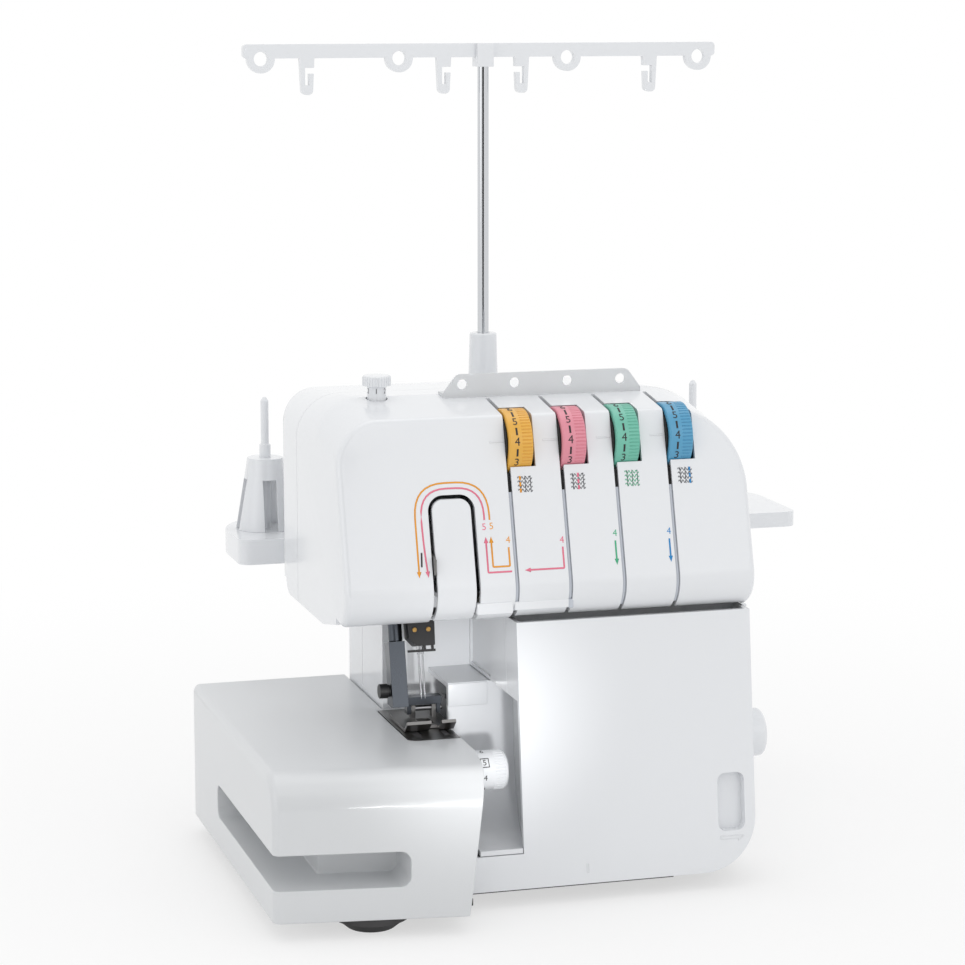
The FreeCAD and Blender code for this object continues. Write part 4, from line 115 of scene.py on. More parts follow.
def skin(node, material, edge, segments=2, angle=math.radians(32)):
    """Clean copy of a CAD node, standing for it, with its edges broken by edge millimetres."""
    mesh = frame["nodes"][node].data.copy()
    work = bmesh.new()
    work.from_mesh(mesh)
    bmesh.ops.remove_doubles(work, verts=work.verts, dist=SAME_POINT)
    bmesh.ops.dissolve_limit(work, angle_limit=FLAT_ANGLE, verts=work.verts, edges=work.edges)
    work.to_mesh(mesh)
    work.free()
    if "custom_normal" in mesh.attributes:
        mesh.attributes.remove(mesh.attributes["custom_normal"])
    mesh.materials.clear()
    mesh.materials.append(material)
    piece = bpy.data.objects.new(node + "_skin", mesh)
    bpy.context.collection.objects.link(piece)
    bpy.ops.object.select_all(action="DESELECT")
    piece.select_set(True)
    bpy.context.view_layer.objects.active = piece
    bpy.ops.object.shade_smooth_by_angle(angle=angle)
    if edge:
        bevel = piece.modifiers.new("broken_edge", "BEVEL")
        bevel.width = edge * MM
        bevel.segments = segments
        bevel.limit_method = "ANGLE"
        bevel.angle_limit = angle
        bevel.harden_normals = True
    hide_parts(node)
    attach(piece, body_of[node])
    return piece


rubber = moulded("foot_rubber", tint(34, 34, 35), 0.72, grain=600.0, depth=0.00005, spread=0.12)
skin("rubber_feet", rubber, edge=0.8)

# Base plate: folded dark sheet that closes the machine from below and carries the hinge ears
# of the looper cover at its front edge.
sheet = moulded("base_sheet", tint(62, 61, 62), 0.5, grain=500.0, depth=0.00002, spread=0.08)
skin("base_plate", sheet, edge=0.3)

# Frame and free arm: die castings bolted to the base plate, grey and slightly rough as they
# leave the mould, with turned bronze bushes and steel pins pressed into them.
casting = moulded("die_casting", tint(168, 170, 173), 0.46, grain=420.0, depth=0.00006, metallic=0.85)
steel = moulded("machined_steel", tint(150, 150, 152), 0.3, grain=1500.0, depth=0.00001, metallic=1.0)
chrome = moulded("polished_chrome", tint(206, 208, 211), 0.12, depth=0.0, metallic=1.0)
bronze = moulded("sintered_bronze", tint(176, 140, 84), 0.42, grain=1400.0, metallic=1.0)
skin("frame", casting, edge=0.5)
skin("free_arm", casting, edge=0.4)
skin("bushes", bronze, edge=0.2)
skin("pivot_pins", steel, edge=0.2)

# Drive: motor in a dark steel can, rubber belt and two pulleys behind the looper cover, and the
# turned steel shaft that carries the handwheel on the right side.
black = moulded("black_plastic", tint(30, 30, 32), 0.42, grain=800.0, spread=0.1)
skin("motor", sheet, edge=0.6)
skin("motor_pulley", steel, edge=0.2)
skin("shaft_pulley", black, edge=0.3)
skin("drive_belt", rubber, edge=0.2)
skin("main_shaft", steel, edge=0.3)

# Casing halves: glossy white mouldings screwed together along the seam behind the dials. The front
# one is a thick slanted shell, rounded all round its face and at its foot.
white = moulded("white_gloss", tint(232, 234, 237), 0.2, grain=300.0, depth=0.000006, coat=0.35,
                spread=0.006)
skin("front_housing", white, edge=0.5)
skin("rear_housing", white, edge=1.2, segments=3)
skin("take_up_cover", white, edge=0.7)
skin("column_casing", white, edge=0.4)
skin("screws", steel, edge=0.2)

# Looper cover and guard: the door tips forward on its hinge rod; behind its left edge the guard
# forms the concave chute that trimmings slide down.
skin("front_cover", white, edge=1.1, segments=3)
skin("cover_hinge_rod", steel, edge=0.2)
skin("looper_guard", white, edge=0.5)

# Extension table: satin white shell that clips round the free arm, with a hand grip cut round
# its front left corner.
satin = moulded("white_satin", tint(216, 218, 220), 0.3, grain=500.0, depth=0.000012, coat=0.15,
                spread=0.008)
skin("extension_table", satin, edge=0.7)

# Needle plate, feed dogs, knives and loopers: the plate is brushed, darkened steel screwed flush into
# the bed, and the small working pieces under it are ground from bright steel.
dark_steel = moulded("brushed_dark_steel", tint(128, 127, 126), 0.34, grain=1200.0, depth=0.00002,
                     metallic=1.0)
BRIGHT_PIECES = (
    "main_feed_dog", "differential_feed_dog", "lower_knife", "upper_knife", "upper_looper", "lower_looper",
)
skin("needle_plate", dark_steel, edge=0.25)
for node in BRIGHT_PIECES:
    skin(node, steel, edge=0.15)

# Needle train: a polished bar that leans back into the head, with a black clamp at its foot that
# holds two needles by small bronze-coloured screws.
skin("needle_bar", chrome, edge=0.3)
skin("needle_clamp", black, edge=0.3)
skin("needle_clamp_screws", bronze, edge=0.2)
skin("needles", chrome, edge=0)

# Presser train: cast steel bar, guide and ankle, with a stamped foot on a pin, a black thumb screw at
# the ankle's left side, and a black lever that lifts the bar.
cast_steel = moulded("cast_steel", tint(84, 88, 94), 0.28, grain=700.0, depth=0.00002, metallic=1.0)
for node in ("presser_bar", "presser_bar_guide", "presser_ankle"):
    skin(node, cast_steel, edge=0.5)
skin("presser_foot", dark_steel, edge=0.2)
skin("presser_foot_pin", steel, edge=0.3)
skin("ankle_screw", black, edge=0.3)
skin("presser_lifter", black, edge=0.8)

# Tension units: four coloured dials on one shaft, each with a ribbed half and figures with strokes
# between them on the other half, and pairs of darkened discs that pinch the thread in the slots.
skin("tension_shaft", steel, edge=0.2)
matt_black = moulded("matt_black", tint(16, 16, 17), 0.7, spread=0.05)
skin("tension_discs", matt_black, edge=0)
ink = moulded("black_ink", tint(44, 40, 42), 0.5, spread=0.02)
DIAL_COLOURS = [(232, 176, 70), (226, 142, 158), (112, 190, 168), (84, 158, 196)]
NUMBER_AT_INDEX = 4
NUMBER_RAISE = math.radians(9)
NUMBER_HEIGHT = 4.2 * MM
NUMBER_PLACE = 0.33
NUMBERS_ROUND_DIAL = 10
NUMBER_STEP = math.radians(360 / NUMBERS_ROUND_DIAL)
STROKE_HEIGHT = 3.7 * MM
STROKE_WIDTH = 0.95 * MM
PRINT_LIFT = 0.05 * MM
ARROW_LENGTH = 3.0 * MM
ARROW_WIDTH = 2.2 * MM
ARROW_SHOULDER = 0.02
ARROW_TIP = 0.05
PRINT_RELIEF = 0.08
FONT_SIZE = 1.36
LINE_FINENESS = 1
RIGHT = Vector((1, 0, 0))


def turned(across, up, at):
    """Matrix that lays a flat drawing on a surface: across and up span it, at is its middle."""
    return Matrix.Translation(at) @ Matrix((across, up, across.cross(up))).transposed().to_4x4()


def as_mesh(piece, material, place):
    """Turns a text or curve into a mesh, then lays it in its place."""
    bpy.ops.object.select_all(action="DESELECT")
    piece.select_set(True)
    bpy.context.view_layer.objects.active = piece
    bpy.ops.object.convert(target="MESH")
    piece.data.transform(place)
    piece.data.materials.clear()
    piece.data.materials.append(material)
    return piece


def letter(text, height, material, across, up, at):
    """Flat printed figure: across and up span its plane, and at is its centre."""
    curve = bpy.data.curves.new("figure_" + text, "FONT")
    curve.body = text
    curve.size = height * FONT_SIZE
    curve.align_x = "CENTER"
    curve.align_y = "CENTER"
    figure = bpy.data.objects.new("figure_" + text, curve)
    bpy.context.collection.objects.link(figure)
    return as_mesh(figure, material, turned(across, up, at))


def round_line(name, points, width, fineness, shares):
    """Round bar along points, as a curve; shares are the parts of its width that each point has."""
    curve = bpy.data.curves.new(name, "CURVE")
    curve.dimensions = "3D"
    curve.bevel_depth = width / 2
    curve.bevel_resolution = fineness
    curve.use_fill_caps = True
    line = curve.splines.new("POLY")
    line.points.add(len(points) - 1)
    for spot, point, share in zip(line.points, points, shares):
        spot.co = (*point.to_3d(), 1)
        spot.radius = share
    piece = bpy.data.objects.new(name, curve)
    bpy.context.collection.objects.link(piece)
    return piece


def stroke(name, points, width, material, place, arrow=False, relief=PRINT_RELIEF):
    """Flat line through points, laid in its place, with an arrow head at its end if asked."""
    shares = [1.0] * len(points)
    if arrow:
        head = (points[-1] - points[-2]).normalized() * ARROW_LENGTH
        points = points + [points[-1] + head * ARROW_SHOULDER, points[-1] + head]
        shares = shares + [ARROW_WIDTH / width, ARROW_TIP]
    piece = round_line(name, points, width, LINE_FINENESS, shares)
    return as_mesh(piece, material, place @ Matrix.Diagonal((1, 1, relief, 1)))


def round_drum(angle):
    """Outward and upward directions at an angle above the front of a drum that lies left to right."""
    out = Vector((0, -math.cos(angle), math.sin(angle)))
    up = Vector((0, math.sin(angle), math.cos(angle)))
    return out, up


def join(pieces, name):
    """One object made of several."""
    bpy.ops.object.select_all(action="DESELECT")
    for piece in pieces:
        piece.select_set(True)
    bpy.context.view_layer.objects.active = pieces[0]
    bpy.ops.object.join()
    pieces[0].name = name
    return pieces[0]


for number, colour in enumerate(DIAL_COLOURS, 1):
    node = "tension_dial_%d" % number
    dial_plastic = moulded("dial_%d_plastic" % number, tint(*colour), 0.3, grain=700.0, coat=0.2)
    skin(node, dial_plastic, edge=0.15)
    low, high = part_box(node)
    centre = (low + high) / 2
    radius = (high.z - low.z) / 2
    column = low.x + (high.x - low.x) * NUMBER_PLACE
    marks = []
    for half_step in range(2 * NUMBERS_ROUND_DIAL):
        out, up = round_drum((half_step / 2 - NUMBER_AT_INDEX) * NUMBER_STEP + NUMBER_RAISE)
        at = Vector((column, centre.y, centre.z)) + out * (radius + PRINT_LIFT)
        if half_step % 2:
            ends = [Vector((0, -STROKE_HEIGHT / 2)), Vector((0, STROKE_HEIGHT / 2))]
            marks.append(stroke("dial_stroke", ends, STROKE_WIDTH, ink, turned(RIGHT, up, at)))
        else:
            marks.append(letter(str(half_step // 2), NUMBER_HEIGHT, ink, RIGHT, up, at))
    numbers = join(marks, "dial_%d_numbers" % number)
    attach(numbers, body_of[node])

# Knobs, levers and side fittings: white mouldings with ribbed rims that the operator turns by hand, a
# black inlet and switch on the right, the work lamp's lens and the steel take-up lever.
for node in ("pressure_knob", "stitch_width_dial", "stitch_length_dial", "differential_lever", "handwheel"):
    skin(node, white, edge=0.3)
skin("power_inlet", black, edge=0.4)
skin("power_switch", black, edge=0.5)
glow = moulded("lamp_lens", tint(244, 240, 226), 0.4)
skin("lamp", glow, edge=0.3)
skin("take_up_lever", dark_steel, edge=0.2)

# Spool stand, mast and thread tree: white tray at the back with four pins and cone holders, and
# the bright telescopic mast with its guide bar.
STAND_EDGES = {
    "spool_stand": 1.5, "spool_pins": 0.4, "cone_holders": 0.6, "mast_socket": 1.0, "thread_tree": 0.3,
}
for node, edge in STAND_EDGES.items():
    skin(node, white, edge)
skin("mast", chrome, edge=0.4)
milky = moulded("milky_plastic", tint(236, 238, 240), 0.3, spread=0.01)
MILKY_SHARE = 0.25
milky.node_tree.nodes["Principled BSDF"].inputs["Transmission Weight"].default_value = MILKY_SHARE
skin("thread_guide_plate", milky, edge=0.4)

# Printed threading guide: thin coloured lines, arrows, figures and plain loop signs that are printed
# on the slanted face of the front casing.
inks = {
    "orange": moulded("orange_ink", tint(240, 160, 40), 0.4, spread=0.02),
    "pink": moulded("pink_ink", tint(238, 120, 146), 0.4, spread=0.02),
    "green": moulded("green_ink", tint(70, 178, 132), 0.4, spread=0.02),
    "blue": moulded("blue_ink", tint(24, 134, 200), 0.4, spread=0.02),
    "grey": moulded("grey_ink", tint(96, 98, 102), 0.4, spread=0.02),
    "black": ink,
}
HEAD_FOOT = 137.4 * MM
FACE_FOOT_Y = -99.6 * MM
FACE_LEAN = 0.29
UP_FACE = Vector((0, FACE_LEAN, 1)).normalized()
FACE_OUT = RIGHT.cross(UP_FACE)
LINE_WIDTH = 0.85 * MM
FIGURE_HEIGHT = 3.4 * MM
CORNER_STEPS = 8
CORNER_SHARE = 0.9


def on_face(x, z):
    """Point of the slanted face at x and height z."""
    return Vector((x, FACE_FOOT_Y + FACE_LEAN * (z - HEAD_FOOT), z))


def face_place(x, z, proud=0.0):
    """Place of a flat drawing whose origin lies at x and height z, proud of the slanted face."""
    return turned(RIGHT, UP_FACE, on_face(x, z) + FACE_OUT * (PRINT_LIFT + proud))


def drawn(points):
    """Points of a drawing in millimetres, as vectors in metres."""
    return [Vector(point) * MM for point in points]


def rounded(points, radius):
    """Corner points in millimetres turned into a path in metres that bends softly at its corners."""
    corners = drawn(points)
    path = [corners[0]]
    for before, corner, after in zip(corners, corners[1:], corners[2:]):
        back = (before - corner).normalized()
        on = (after - corner).normalized()
        room = min((before - corner).length, (after - corner).length) * CORNER_SHARE
        reach = min(radius * MM, room)
        for step in range(CORNER_STEPS + 1):
            part = step / CORNER_STEPS
            path.append(corner + back * reach * (1 - part) ** 2 + on * reach * part ** 2)
    path.append(corners[-1])
    return path


GUIDE_LINES = [
    ("orange", [(-51.6, 186.6), (-51.6, 204.6), (-88.2, 204.6), (-88.2, 164.5)], 15.5, True),
    ("pink", [(-54.2, 186.6), (-54.2, 202.0), (-85.2, 202.0), (-85.2, 178.0), (-84.0, 164.5)], 13.0, True),
    ("orange", [(-43.2, 173.6), (-43.2, 164.9), (-51.6, 164.9), (-51.6, 176.0)], 0.5, True),
    ("pink", [(-42.4, 162.4), (-54.2, 162.4), (-54.2, 176.0)], 0.5, True),
    ("pink", [(-16.2, 172.5), (-16.2, 162.6), (-33.0, 162.6)], 0.5, True),
    ("green", [(10.6, 174.0), (10.6, 165.5)], 0.5, True),
    ("blue", [(38.2, 173.6), (38.2, 165.5)], 0.5, True),
    ("black", [(-86.3, 173.2), (-86.7, 166.6)], 0.5, False),
]
prints = []
for colour, points, radius, arrow in GUIDE_LINES:
    path = [Vector((point.x, (point.y - HEAD_FOOT) / UP_FACE.z)) for point in rounded(points, radius)]
    prints.append(stroke("guide_line", path, LINE_WIDTH, inks[colour], face_place(0, HEAD_FOOT), arrow))
GUIDE_FIGURES = [
    ("5", "pink", -54.6, 183.4), ("5", "orange", -51.0, 183.6), ("4", "orange", -43.2, 176.9),
    ("4", "pink", -16.3, 175.6), ("4", "green", 10.7, 177.4), ("4", "blue", 38.3, 177.0),
]
for text, colour, x, z in GUIDE_FIGURES:
    at = face_place(x * MM, z * MM).translation
    prints.append(letter(text, FIGURE_HEIGHT, inks[colour], RIGHT, UP_FACE, at))
SIGNS = [
    ("orange", -32.5, 202.3, -2.4), ("pink", -5.8, 202.5, 0.2),
    ("green", 21.8, 202.7, 0.2), ("blue", 49.1, 202.9, 2.4),
]
SIGN_LINE = 0.4 * MM
SIGN_ROWS = (-3.0, -1.0, 1.0, 3.0)
SIGN_COLUMNS = (-2.4, 0.2, 2.8)
SIGN_REACH = 4.0
WAVE_STEPS = 12
WAVE_STEP = 0.3
WAVE_HEIGHT = 0.75
WAVE_TURN = math.pi / 3
DASHES = (-3.0, 0.0, 3.0)
DASH_REACH = 1.0
DASH_WIDTH = 0.95 * MM
DASH_PROUD = 0.05 * MM
for colour, x, z, dashes_x in SIGNS:
    place = face_place(x * MM, z * MM)
    thread = "green" if colour == "green" else "grey"
    for row in SIGN_ROWS:
        wave = []
        for step in range(-WAVE_STEPS, WAVE_STEPS + 1):
            wave.append((step * WAVE_STEP, row + WAVE_HEIGHT * math.sin(step * WAVE_TURN)))
        prints.append(stroke("sign_wave", drawn(wave), SIGN_LINE, inks[thread], place))
    for across in SIGN_COLUMNS:
        ends = drawn([(across, -SIGN_REACH), (across, SIGN_REACH)])
        prints.append(stroke("sign_thread", ends, SIGN_LINE, inks["grey"], place))
    if colour != "green":
        place = face_place(x * MM, z * MM, DASH_PROUD)
        for dash in DASHES:
            ends = drawn([(dashes_x, dash - DASH_REACH), (dashes_x, dash + DASH_REACH)])
            prints.append(stroke("sign_dash", ends, DASH_WIDTH, inks[colour], place))
guide = join(prints, "threading_guide")
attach(guide, "machine")

# Dial index lines: a short ridge left of each dial that the figure set is read against, moulded with
# the front casing in the same white.
INDEX_HEIGHT = 222.4 * MM
INDEX_LINE = [(-14.6, 0), (-7.4, 0)]
INDEX_WIDTH = 0.9 * MM
INDEX_RELIEF = 0.7
lines = []
for number in range(1, len(DIAL_COLOURS) + 1):
    low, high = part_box("tension_dial_%d" % number)
    place = face_place((low.x + high.x) / 2, INDEX_HEIGHT)
    lines.append(stroke("index_line", drawn(INDEX_LINE), INDEX_WIDTH, white, place, relief=INDEX_RELIEF))
index_lines = join(lines, "dial_index_lines")
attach(index_lines, "machine")

# Slot floors: a round rib moulded at the bottom of each thread slot, in a painted grey shade along the face
# and round its foot, and black above, a painted shadow in the slot that hides the dial behind it.
SLOT_FROM_DIAL = -5.9 * MM
SLOT_WIDTH = 2.0 * MM
SLOT_DEPTH = 1.7 * MM
SLOT_SHADE_TOP = 199.0 * MM
SLOT_SHADOW_TOP = 208.0 * MM
SLOT_FINENESS = 3
FOOT_RADIUS = 16.0 * MM
FOOT_TURN = math.radians(62)
FOOT_STEPS = 12
# Painted shade: the grey of the slot floors and of the flange's end stands for the white casing in shadow.
shade = moulded("painted_shade_grey", tint(196, 201, 209), 0.4, spread=0.02)
foot_axis_z = HEAD_FOOT + FOOT_RADIUS
foot_axis = on_face(0, foot_axis_z + FOOT_RADIUS * FACE_OUT.z) - FACE_OUT * FOOT_RADIUS


def slot_rib(name, x, path, material):
    """Round rib along a path in the upright plane at x."""
    piece = round_line(name, path, SLOT_WIDTH, SLOT_FINENESS, [1.0] * len(path))
    as_mesh(piece, material, Matrix.Translation((x, 0, 0)))
    bpy.ops.object.shade_smooth()
    return piece


def behind_face(z):
    """Point of the slot floor's middle line at a height on the face."""
    return on_face(0, z) - FACE_OUT * SLOT_DEPTH


shade_path = [behind_face(SLOT_SHADE_TOP)]
for step in range(FOOT_STEPS + 1):
    turn = Matrix.Rotation(FOOT_TURN * step / FOOT_STEPS, 4, "X")
    shade_path.append(foot_axis + turn @ (FACE_OUT * (FOOT_RADIUS - SLOT_DEPTH)))
shadow_path = [behind_face(SLOT_SHADOW_TOP), behind_face(SLOT_SHADE_TOP)]
floors = []
for number in range(1, len(DIAL_COLOURS) + 1):
    low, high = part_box("tension_dial_%d" % number)
    middle = (low.x + high.x) / 2 + SLOT_FROM_DIAL
    floors.append(slot_rib("slot_floor", middle, shade_path, shade))
    # Painted shadow: a black rib where the slot lies only in shadow.
    floors.append(slot_rib("slot_painted_shadow", middle, shadow_path, matt_black))
slot_floors = join(floors, "slot_floors")
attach(slot_floors, "machine")

# Foot lips: thin lips under the foot of the face that keep the threads from slipping off, moulded with
# the front casing; the longer one ends at a recess, drawn as a grey block of painted shade.
BLOCK_SEGMENTS = 3
BLOCK_SMOOTH = math.radians(35)
LIPS = [
    ("foot_lip", (-60.0, -93.8, 142.2), (-42.2, -88.5, 147.9), white, 0.6),
    ("foot_flange", (-41.2, -93.4, 143.4), (-14.2, -88.5, 147.6), white, 0.4),
    # Painted shade: the grey block stands for the shaded recess at the end of the flange.
    ("flange_end", (-14.2, -92.9, 143.0), (-11.7, -88.5, 147.4), shade, 0.3),
]


def block(name, low, high, material, round_edge):
    """Solid bar between two corners in millimetres with rounded edges."""
    middle = (Vector(low) + Vector(high)) / 2 * MM
    bpy.ops.object.select_all(action="DESELECT")
    bpy.ops.mesh.primitive_cube_add(size=1, location=(0, 0, 0))
    piece = bpy.context.object
    piece.name = name
    reach = (Vector(high) - Vector(low)) * MM
    piece.data.transform(Matrix.Translation(middle) @ Matrix.Diagonal((*reach, 1)))
    bpy.ops.object.mode_set(mode="EDIT")
    bpy.ops.mesh.select_all(action="SELECT")
    bpy.ops.mesh.bevel(offset=round_edge * MM, segments=BLOCK_SEGMENTS)
    bpy.ops.object.mode_set(mode="OBJECT")
    piece.data.materials.append(material)
    bpy.ops.object.shade_smooth_by_angle(angle=BLOCK_SMOOTH)
    return piece


foot_lips = join([block(*lip) for lip in LIPS], "foot_lips")
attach(foot_lips, "machine")

# Slot eyelet: a bright wire guide in the gap left of the take-up cover, fixed inside the casing, that
# the needle threads run behind.
EYELET_LOW = (-80.9, -90.6, 162.0)
EYELET_HIGH = (-79.6, -89.0, 168.0)
EYELET_EDGE = 0.5
eyelet = block("slot_eyelet", EYELET_LOW, EYELET_HIGH, chrome, EYELET_EDGE)
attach(eyelet, "machine")

# Guard lip: a slightly proud lip along the guard's upper front edge, over the chute, moulded with the
# guard in the same white.
low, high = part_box("looper_guard")
LIP_HEIGHT = 11.5
LIP_BELOW_TOP = 0.3
LIP_PROUD = 0.9
LIP_SUNK = 0.6
LIP_RIGHT = -41.0
LIP_EDGE = 0.5
GUARD_FRONT = -45.0
lip_top = high.z / MM - LIP_BELOW_TOP
lip_low = (low.x / MM, GUARD_FRONT - LIP_PROUD, lip_top - LIP_HEIGHT)
lip = block("guard_lip", lip_low, (LIP_RIGHT, GUARD_FRONT + LIP_SUNK, lip_top), white, LIP_EDGE)
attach(lip, body_of["looper_guard"])

# Clamp windows: two pale plugs set in the front of the needle clamp where the needles are held, which
# lean back with the needle bar.
low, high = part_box("needle_clamp")
CLAMP_TILT = math.radians(14)
WINDOW_RISE = 11.8 * MM
WINDOW_SHARES = (0.32, 0.69)
WINDOW_LINE = [(-1.6, 0), (1.6, 0)]
WINDOW_HEIGHT = 2.4 * MM
WINDOW_RELIEF = 0.2
up = Vector((0, math.sin(CLAMP_TILT), math.cos(CLAMP_TILT)))
window_y = low.y + WINDOW_RISE * math.tan(CLAMP_TILT)
windows = []
for share in WINDOW_SHARES:
    at = Vector((low.x + (high.x - low.x) * share, window_y, low.z + WINDOW_RISE))
    place = turned(RIGHT, up, at)
    window = stroke("clamp_window", drawn(WINDOW_LINE), WINDOW_HEIGHT, white, place, relief=WINDOW_RELIEF)
    windows.append(window)
clamp_windows = join(windows, "clamp_windows")
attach(clamp_windows, body_of["needle_clamp"])

# Width dial figures: plain numbers, each with a short stroke, printed in dark ink round the barrel of
# the stitch width dial; the usual setting has a frame round it.
low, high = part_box("stitch_width_dial")
BARREL_X = -57.0 * MM
BARREL_RADIUS = 9.6 * MM
BARREL_FIGURES = range(1, 9)
BARREL_STEP = math.radians(360 / len(BARREL_FIGURES))
BARREL_HEIGHT = 3.0 * MM
USUAL_WIDTH = 5
USUAL_ANGLE = math.radians(36)
TICK = [(-4.0, 0), (-3.2, 0)]
TICK_WIDTH = 0.7 * MM
FIGURE_FRAME = [(-2, -2.2), (2, -2.2), (2, 2.2), (-2, 2.2), (-2, -2.2)]
FIGURE_FRAME_WIDTH = 0.5 * MM
axis = Vector((BARREL_X, (low.y + high.y) / 2, (low.z + high.z) / 2))
barrel = []
for value in BARREL_FIGURES:
    out, up = round_drum(USUAL_ANGLE + BARREL_STEP * (value - USUAL_WIDTH))
    at = axis + out * (BARREL_RADIUS + PRINT_LIFT)
    place = turned(RIGHT, up, at)
    barrel.append(letter(str(value), BARREL_HEIGHT, ink, RIGHT, up, at))
    barrel.append(stroke("width_stroke", drawn(TICK), TICK_WIDTH, ink, place))
    if value == USUAL_WIDTH:
        barrel.append(stroke("width_frame", drawn(FIGURE_FRAME), FIGURE_FRAME_WIDTH, ink, place))
barrel_figures = join(barrel, "width_dial_figures")
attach(barrel_figures, body_of["stitch_width_dial"])

# Pressure knob figures: the numbers one to four printed in dark ink round the knob's stem, so that one
# of them always faces the operator.
low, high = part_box("pressure_knob")
STEM_RADIUS = 4.6 * MM
STEM_BELOW_TOP = 7.6 * MM
STEM_FIGURES = 6
STEM_TURN = math.radians(-106)
STEM_STEP = math.radians(360 / STEM_FIGURES)
STEM_HEIGHT = 2.6 * MM
HIGHEST_PRESSURE = 4
UP = Vector((0, 0, 1))
stem = Vector(((low.x + high.x) / 2, (low.y + high.y) / 2, high.z - STEM_BELOW_TOP))
rings = []
for step in range(STEM_FIGURES):
    angle = STEM_TURN + STEM_STEP * step
    out = Vector((math.cos(angle), math.sin(angle), 0))
    across = Vector((-math.sin(angle), math.cos(angle), 0))
    at = stem + out * (STEM_RADIUS + PRINT_LIFT)
    rings.append(letter(str(step % HIGHEST_PRESSURE + 1), STEM_HEIGHT, ink, across, UP, at))
stem_figures = join(rings, "pressure_knob_figures")
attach(stem_figures, body_of["pressure_knob"])

# Cover signs: a small arrow and a centring mark moulded proud on the front of the looper cover, in
# its own white plastic.
COVER_FOOT_Y = -105.4 * MM
COVER_LEAN = 0.119
COVER_FOOT = 8.7 * MM
UP_COVER = Vector((0, COVER_LEAN, 1)).normalized()
ARROW_SIGN = [(-6.0, -0.8), (3.2, -0.8), (3.2, -1.8), (6.0, 0.4), (3.2, 0.8), (-6.0, 0.8), (-6.0, -0.8)]
ARROW_SIGN_AT = (67.6 * MM, 25.3 * MM)
ARROW_SIGN_LINE = 0.6 * MM
MARK_SIGN = [(-0.5, -2.0), (0.5, -2.0), (0.5, 2.0), (-0.5, 2.0), (-0.5, -2.0)]
MARK_SIGN_AT = (-7.4 * MM, 16.2 * MM)
MARK_SIGN_LINE = 0.5 * MM
SIGN_RELIEF = 0.9


def cover_place(x, z):
    """Place of a flat drawing whose origin lies at x and height z on the cover."""
    at = Vector((x, COVER_FOOT_Y + COVER_LEAN * (z - COVER_FOOT), z))
    return turned(RIGHT, UP_COVER, at)


signs = []
for name, points, width, at in (("cover_arrow", ARROW_SIGN, ARROW_SIGN_LINE, ARROW_SIGN_AT),
                                ("cover_mark", MARK_SIGN, MARK_SIGN_LINE, MARK_SIGN_AT)):
    signs.append(stroke(name, drawn(points), width, white, cover_place(*at), relief=SIGN_RELIEF))
cover_signs = join(signs, "cover_signs")
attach(cover_signs, body_of["front_cover"])

# Floor: a pale painted floor that keeps the soft shadow under the machine and, for the camera and in
# mirrors, fades to white around it.
FLOOR_SIZE = 8.0
FLOOR_GREY = (0.9, 0.9, 0.9, 1)
FLOOR_ROUGHNESS = 0.9
FADE_START = 0.1
FADE_END = 0.75
FADE_LEAST = 0.6
bpy.ops.object.select_all(action="DESELECT")
bpy.ops.mesh.primitive_plane_add(size=FLOOR_SIZE, location=(0, 0, 0))
floor = bpy.context.object
floor.name = "floor"
paint = bpy.data.materials.new("floor_paint")
paint.use_nodes = True
nodes = paint.node_tree.nodes
links = paint.node_tree.links
base = nodes["Principled BSDF"]
base.inputs["Base Color"].default_value = FLOOR_GREY
base.inputs["Roughness"].default_value = FLOOR_ROUGHNESS
rays = nodes.new("ShaderNodeLightPath")
seen = nodes.new("ShaderNodeMath")
seen.operation = "MAXIMUM"
links.new(rays.outputs["Is Camera Ray"], seen.inputs[0])
links.new(rays.outputs["Is Glossy Ray"], seen.inputs[1])
place = nodes.new("ShaderNodeTexCoord")
away = nodes.new("ShaderNodeVectorMath")
away.operation = "LENGTH"
links.new(place.outputs["Object"], away.inputs[0])
fade = nodes.new("ShaderNodeMapRange")
fade.interpolation_type = "SMOOTHSTEP"
fade.inputs["From Min"].default_value = FADE_START
fade.inputs["From Max"].default_value = FADE_END
fade.inputs["To Min"].default_value = FADE_LEAST
links.new(away.outputs["Value"], fade.inputs["Value"])
share = nodes.new("ShaderNodeMath")
share.operation = "MULTIPLY"
links.new(seen.outputs["Value"], share.inputs[0])
links.new(fade.outputs["Result"], share.inputs[1])
light_out = nodes.new("ShaderNodeEmission")
mix = nodes.new("ShaderNodeMixShader")
links.new(share.outputs["Value"], mix.inputs["Fac"])
links.new(base.outputs["BSDF"], mix.inputs[1])
links.new(light_out.outputs["Emission"], mix.inputs[2])
links.new(mix.outputs["Shader"], nodes["Material Output"].inputs["Surface"])
floor.data.materials.append(paint)

# Card: a black board beside the camera that only mirrors see, which gives the bright metal its
# contrast.
CARD_PLACE = Vector((-0.56, -1.8, 0.5))
CARD_AIM = Vector((0, 0.09, 0.3))
CARD_WIDTH = 1.3
CARD_HEIGHT = 2.4
CARD_BLACK = (0.01, 0.01, 0.01, 1)
card_black = bpy.data.materials.new("card_black")
card_black.use_nodes = True
card_black.node_tree.nodes["Principled BSDF"].inputs["Base Color"].default_value = CARD_BLACK
bpy.ops.object.select_all(action="DESELECT")
bpy.ops.mesh.primitive_plane_add(size=1, location=(0, 0, 0))
card = bpy.context.object
card.name = "card"
facing = (CARD_AIM - CARD_PLACE).to_track_quat("Z", "Y").to_matrix().to_4x4()
outline = Matrix.Diagonal((CARD_WIDTH, CARD_HEIGHT, 1, 1))
card.data.transform(Matrix.Translation(CARD_PLACE) @ facing @ outline)
card.data.materials.append(card_black)
card.visible_camera = False
card.visible_diffuse = False
card.visible_shadow = False

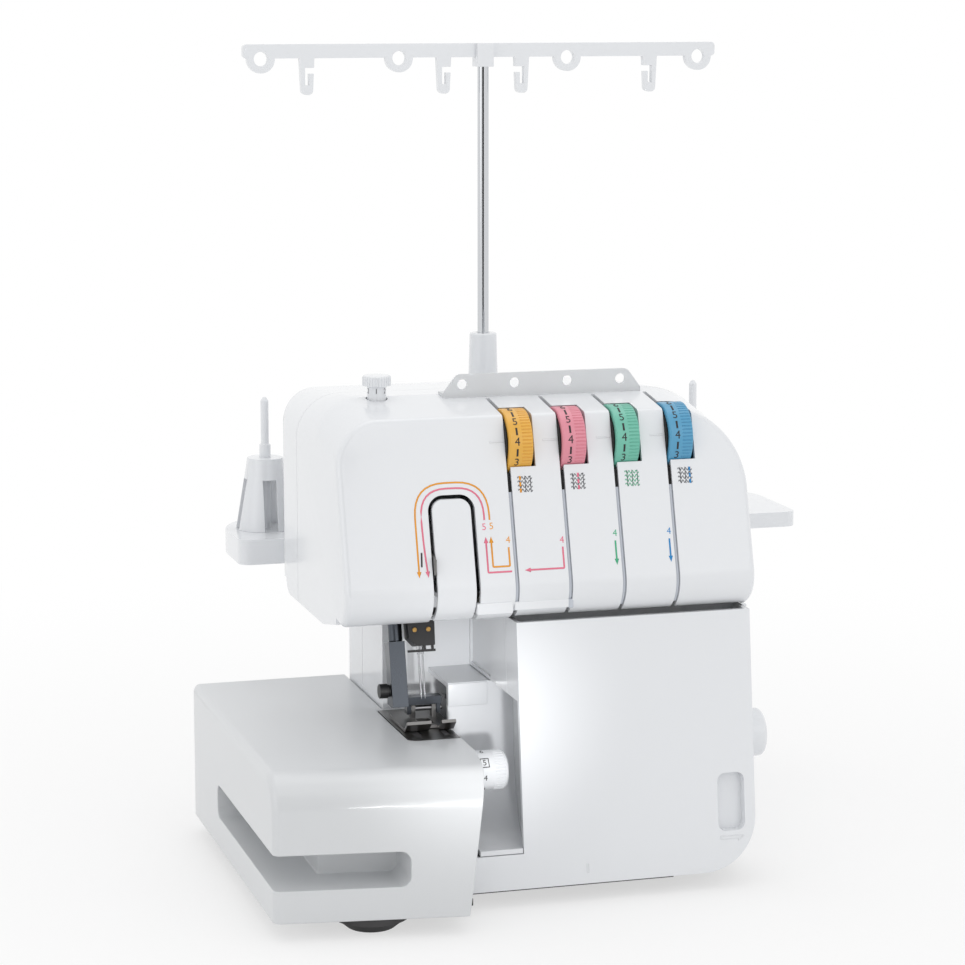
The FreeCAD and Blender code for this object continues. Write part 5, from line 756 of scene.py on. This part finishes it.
# Room: white all round, at full strength for the camera and in mirrors, and a little dimmer as the
# light that falls on the machine.
ROOM_WHITE = (1, 1, 1, 1)
ROOM_SEEN = 1.0
ROOM_LIGHT = 0.85
world = bpy.data.worlds.new("studio")
bpy.context.scene.world = world
world.use_nodes = True
nodes = world.node_tree.nodes
links = world.node_tree.links
rays = nodes.new("ShaderNodeLightPath")
mirrored = nodes.new("ShaderNodeMath")
mirrored.operation = "MAXIMUM"
links.new(rays.outputs["Is Glossy Ray"], mirrored.inputs[0])
links.new(rays.outputs["Is Transmission Ray"], mirrored.inputs[1])
seen = nodes.new("ShaderNodeMath")
seen.operation = "MAXIMUM"
links.new(rays.outputs["Is Camera Ray"], seen.inputs[0])
links.new(mirrored.outputs["Value"], seen.inputs[1])
strength = nodes.new("ShaderNodeMapRange")
strength.inputs["To Min"].default_value = ROOM_LIGHT
strength.inputs["To Max"].default_value = ROOM_SEEN
links.new(seen.outputs["Value"], strength.inputs["Value"])
nodes["Background"].inputs["Color"].default_value = ROOM_WHITE
links.new(strength.outputs["Result"], nodes["Background"].inputs["Strength"])

# Lamps: three soft round panels at the left, in front and above, aimed at the machine's middle, and a
# narrow spot that reaches the space under the head.
LAMP_AIM = (0, 0, 0.17)
SPOT_PLACE = (-0.15, -0.9, 0.115)
SPOT_AIM = (-0.056, -0.02, 0.09)
SPOT_POWER = 15
SPOT_ANGLE = math.radians(8.5)
SPOT_SOFTNESS = 0.03


def aimed(name, data, place, target):
    """Lamp or camera that stands in its place and points at its target."""
    piece = bpy.data.objects.new(name, data)
    piece.location = place
    piece.rotation_euler = (Vector(target) - piece.location).to_track_quat("-Z", "Y").to_euler()
    bpy.context.collection.objects.link(piece)
    return piece


def panel(name, place, size, power):
    """Soft round lamp aimed at the machine's middle."""
    light = bpy.data.lights.new(name, "AREA")
    light.shape = "DISK"
    light.size = size
    light.energy = power
    aimed(name, light, place, LAMP_AIM)


panel("left", place=(-1.6, -0.7, 0.6), size=0.9, power=1.3)
panel("front", place=(0.5, -1.9, 1.0), size=1.4, power=2.5)
panel("top", place=(0.1, 0.3, 1.9), size=1.4, power=4.5)
spot = bpy.data.lights.new("under_head", "SPOT")
spot.energy = SPOT_POWER
spot.spot_size = SPOT_ANGLE
spot.spot_blend = 1.0
spot.shadow_soft_size = SPOT_SOFTNESS
aimed("under_head", spot, SPOT_PLACE, SPOT_AIM)

# Camera: stands a little left of the machine and above its head, as the photograph was taken, with a
# long lens.
CAMERA_PLACE = (-0.4435, -1.4137, 0.4380)
CAMERA_AIM = (-0.04295, -0.04381, 0.19757)
camera = bpy.data.cameras.new("camera")
camera.lens = 110.05
camera.sensor_width = 36
eye = aimed("camera", camera, CAMERA_PLACE, CAMERA_AIM)
bpy.context.scene.camera = eye
bpy.context.scene.view_settings.view_transform = "Standard"
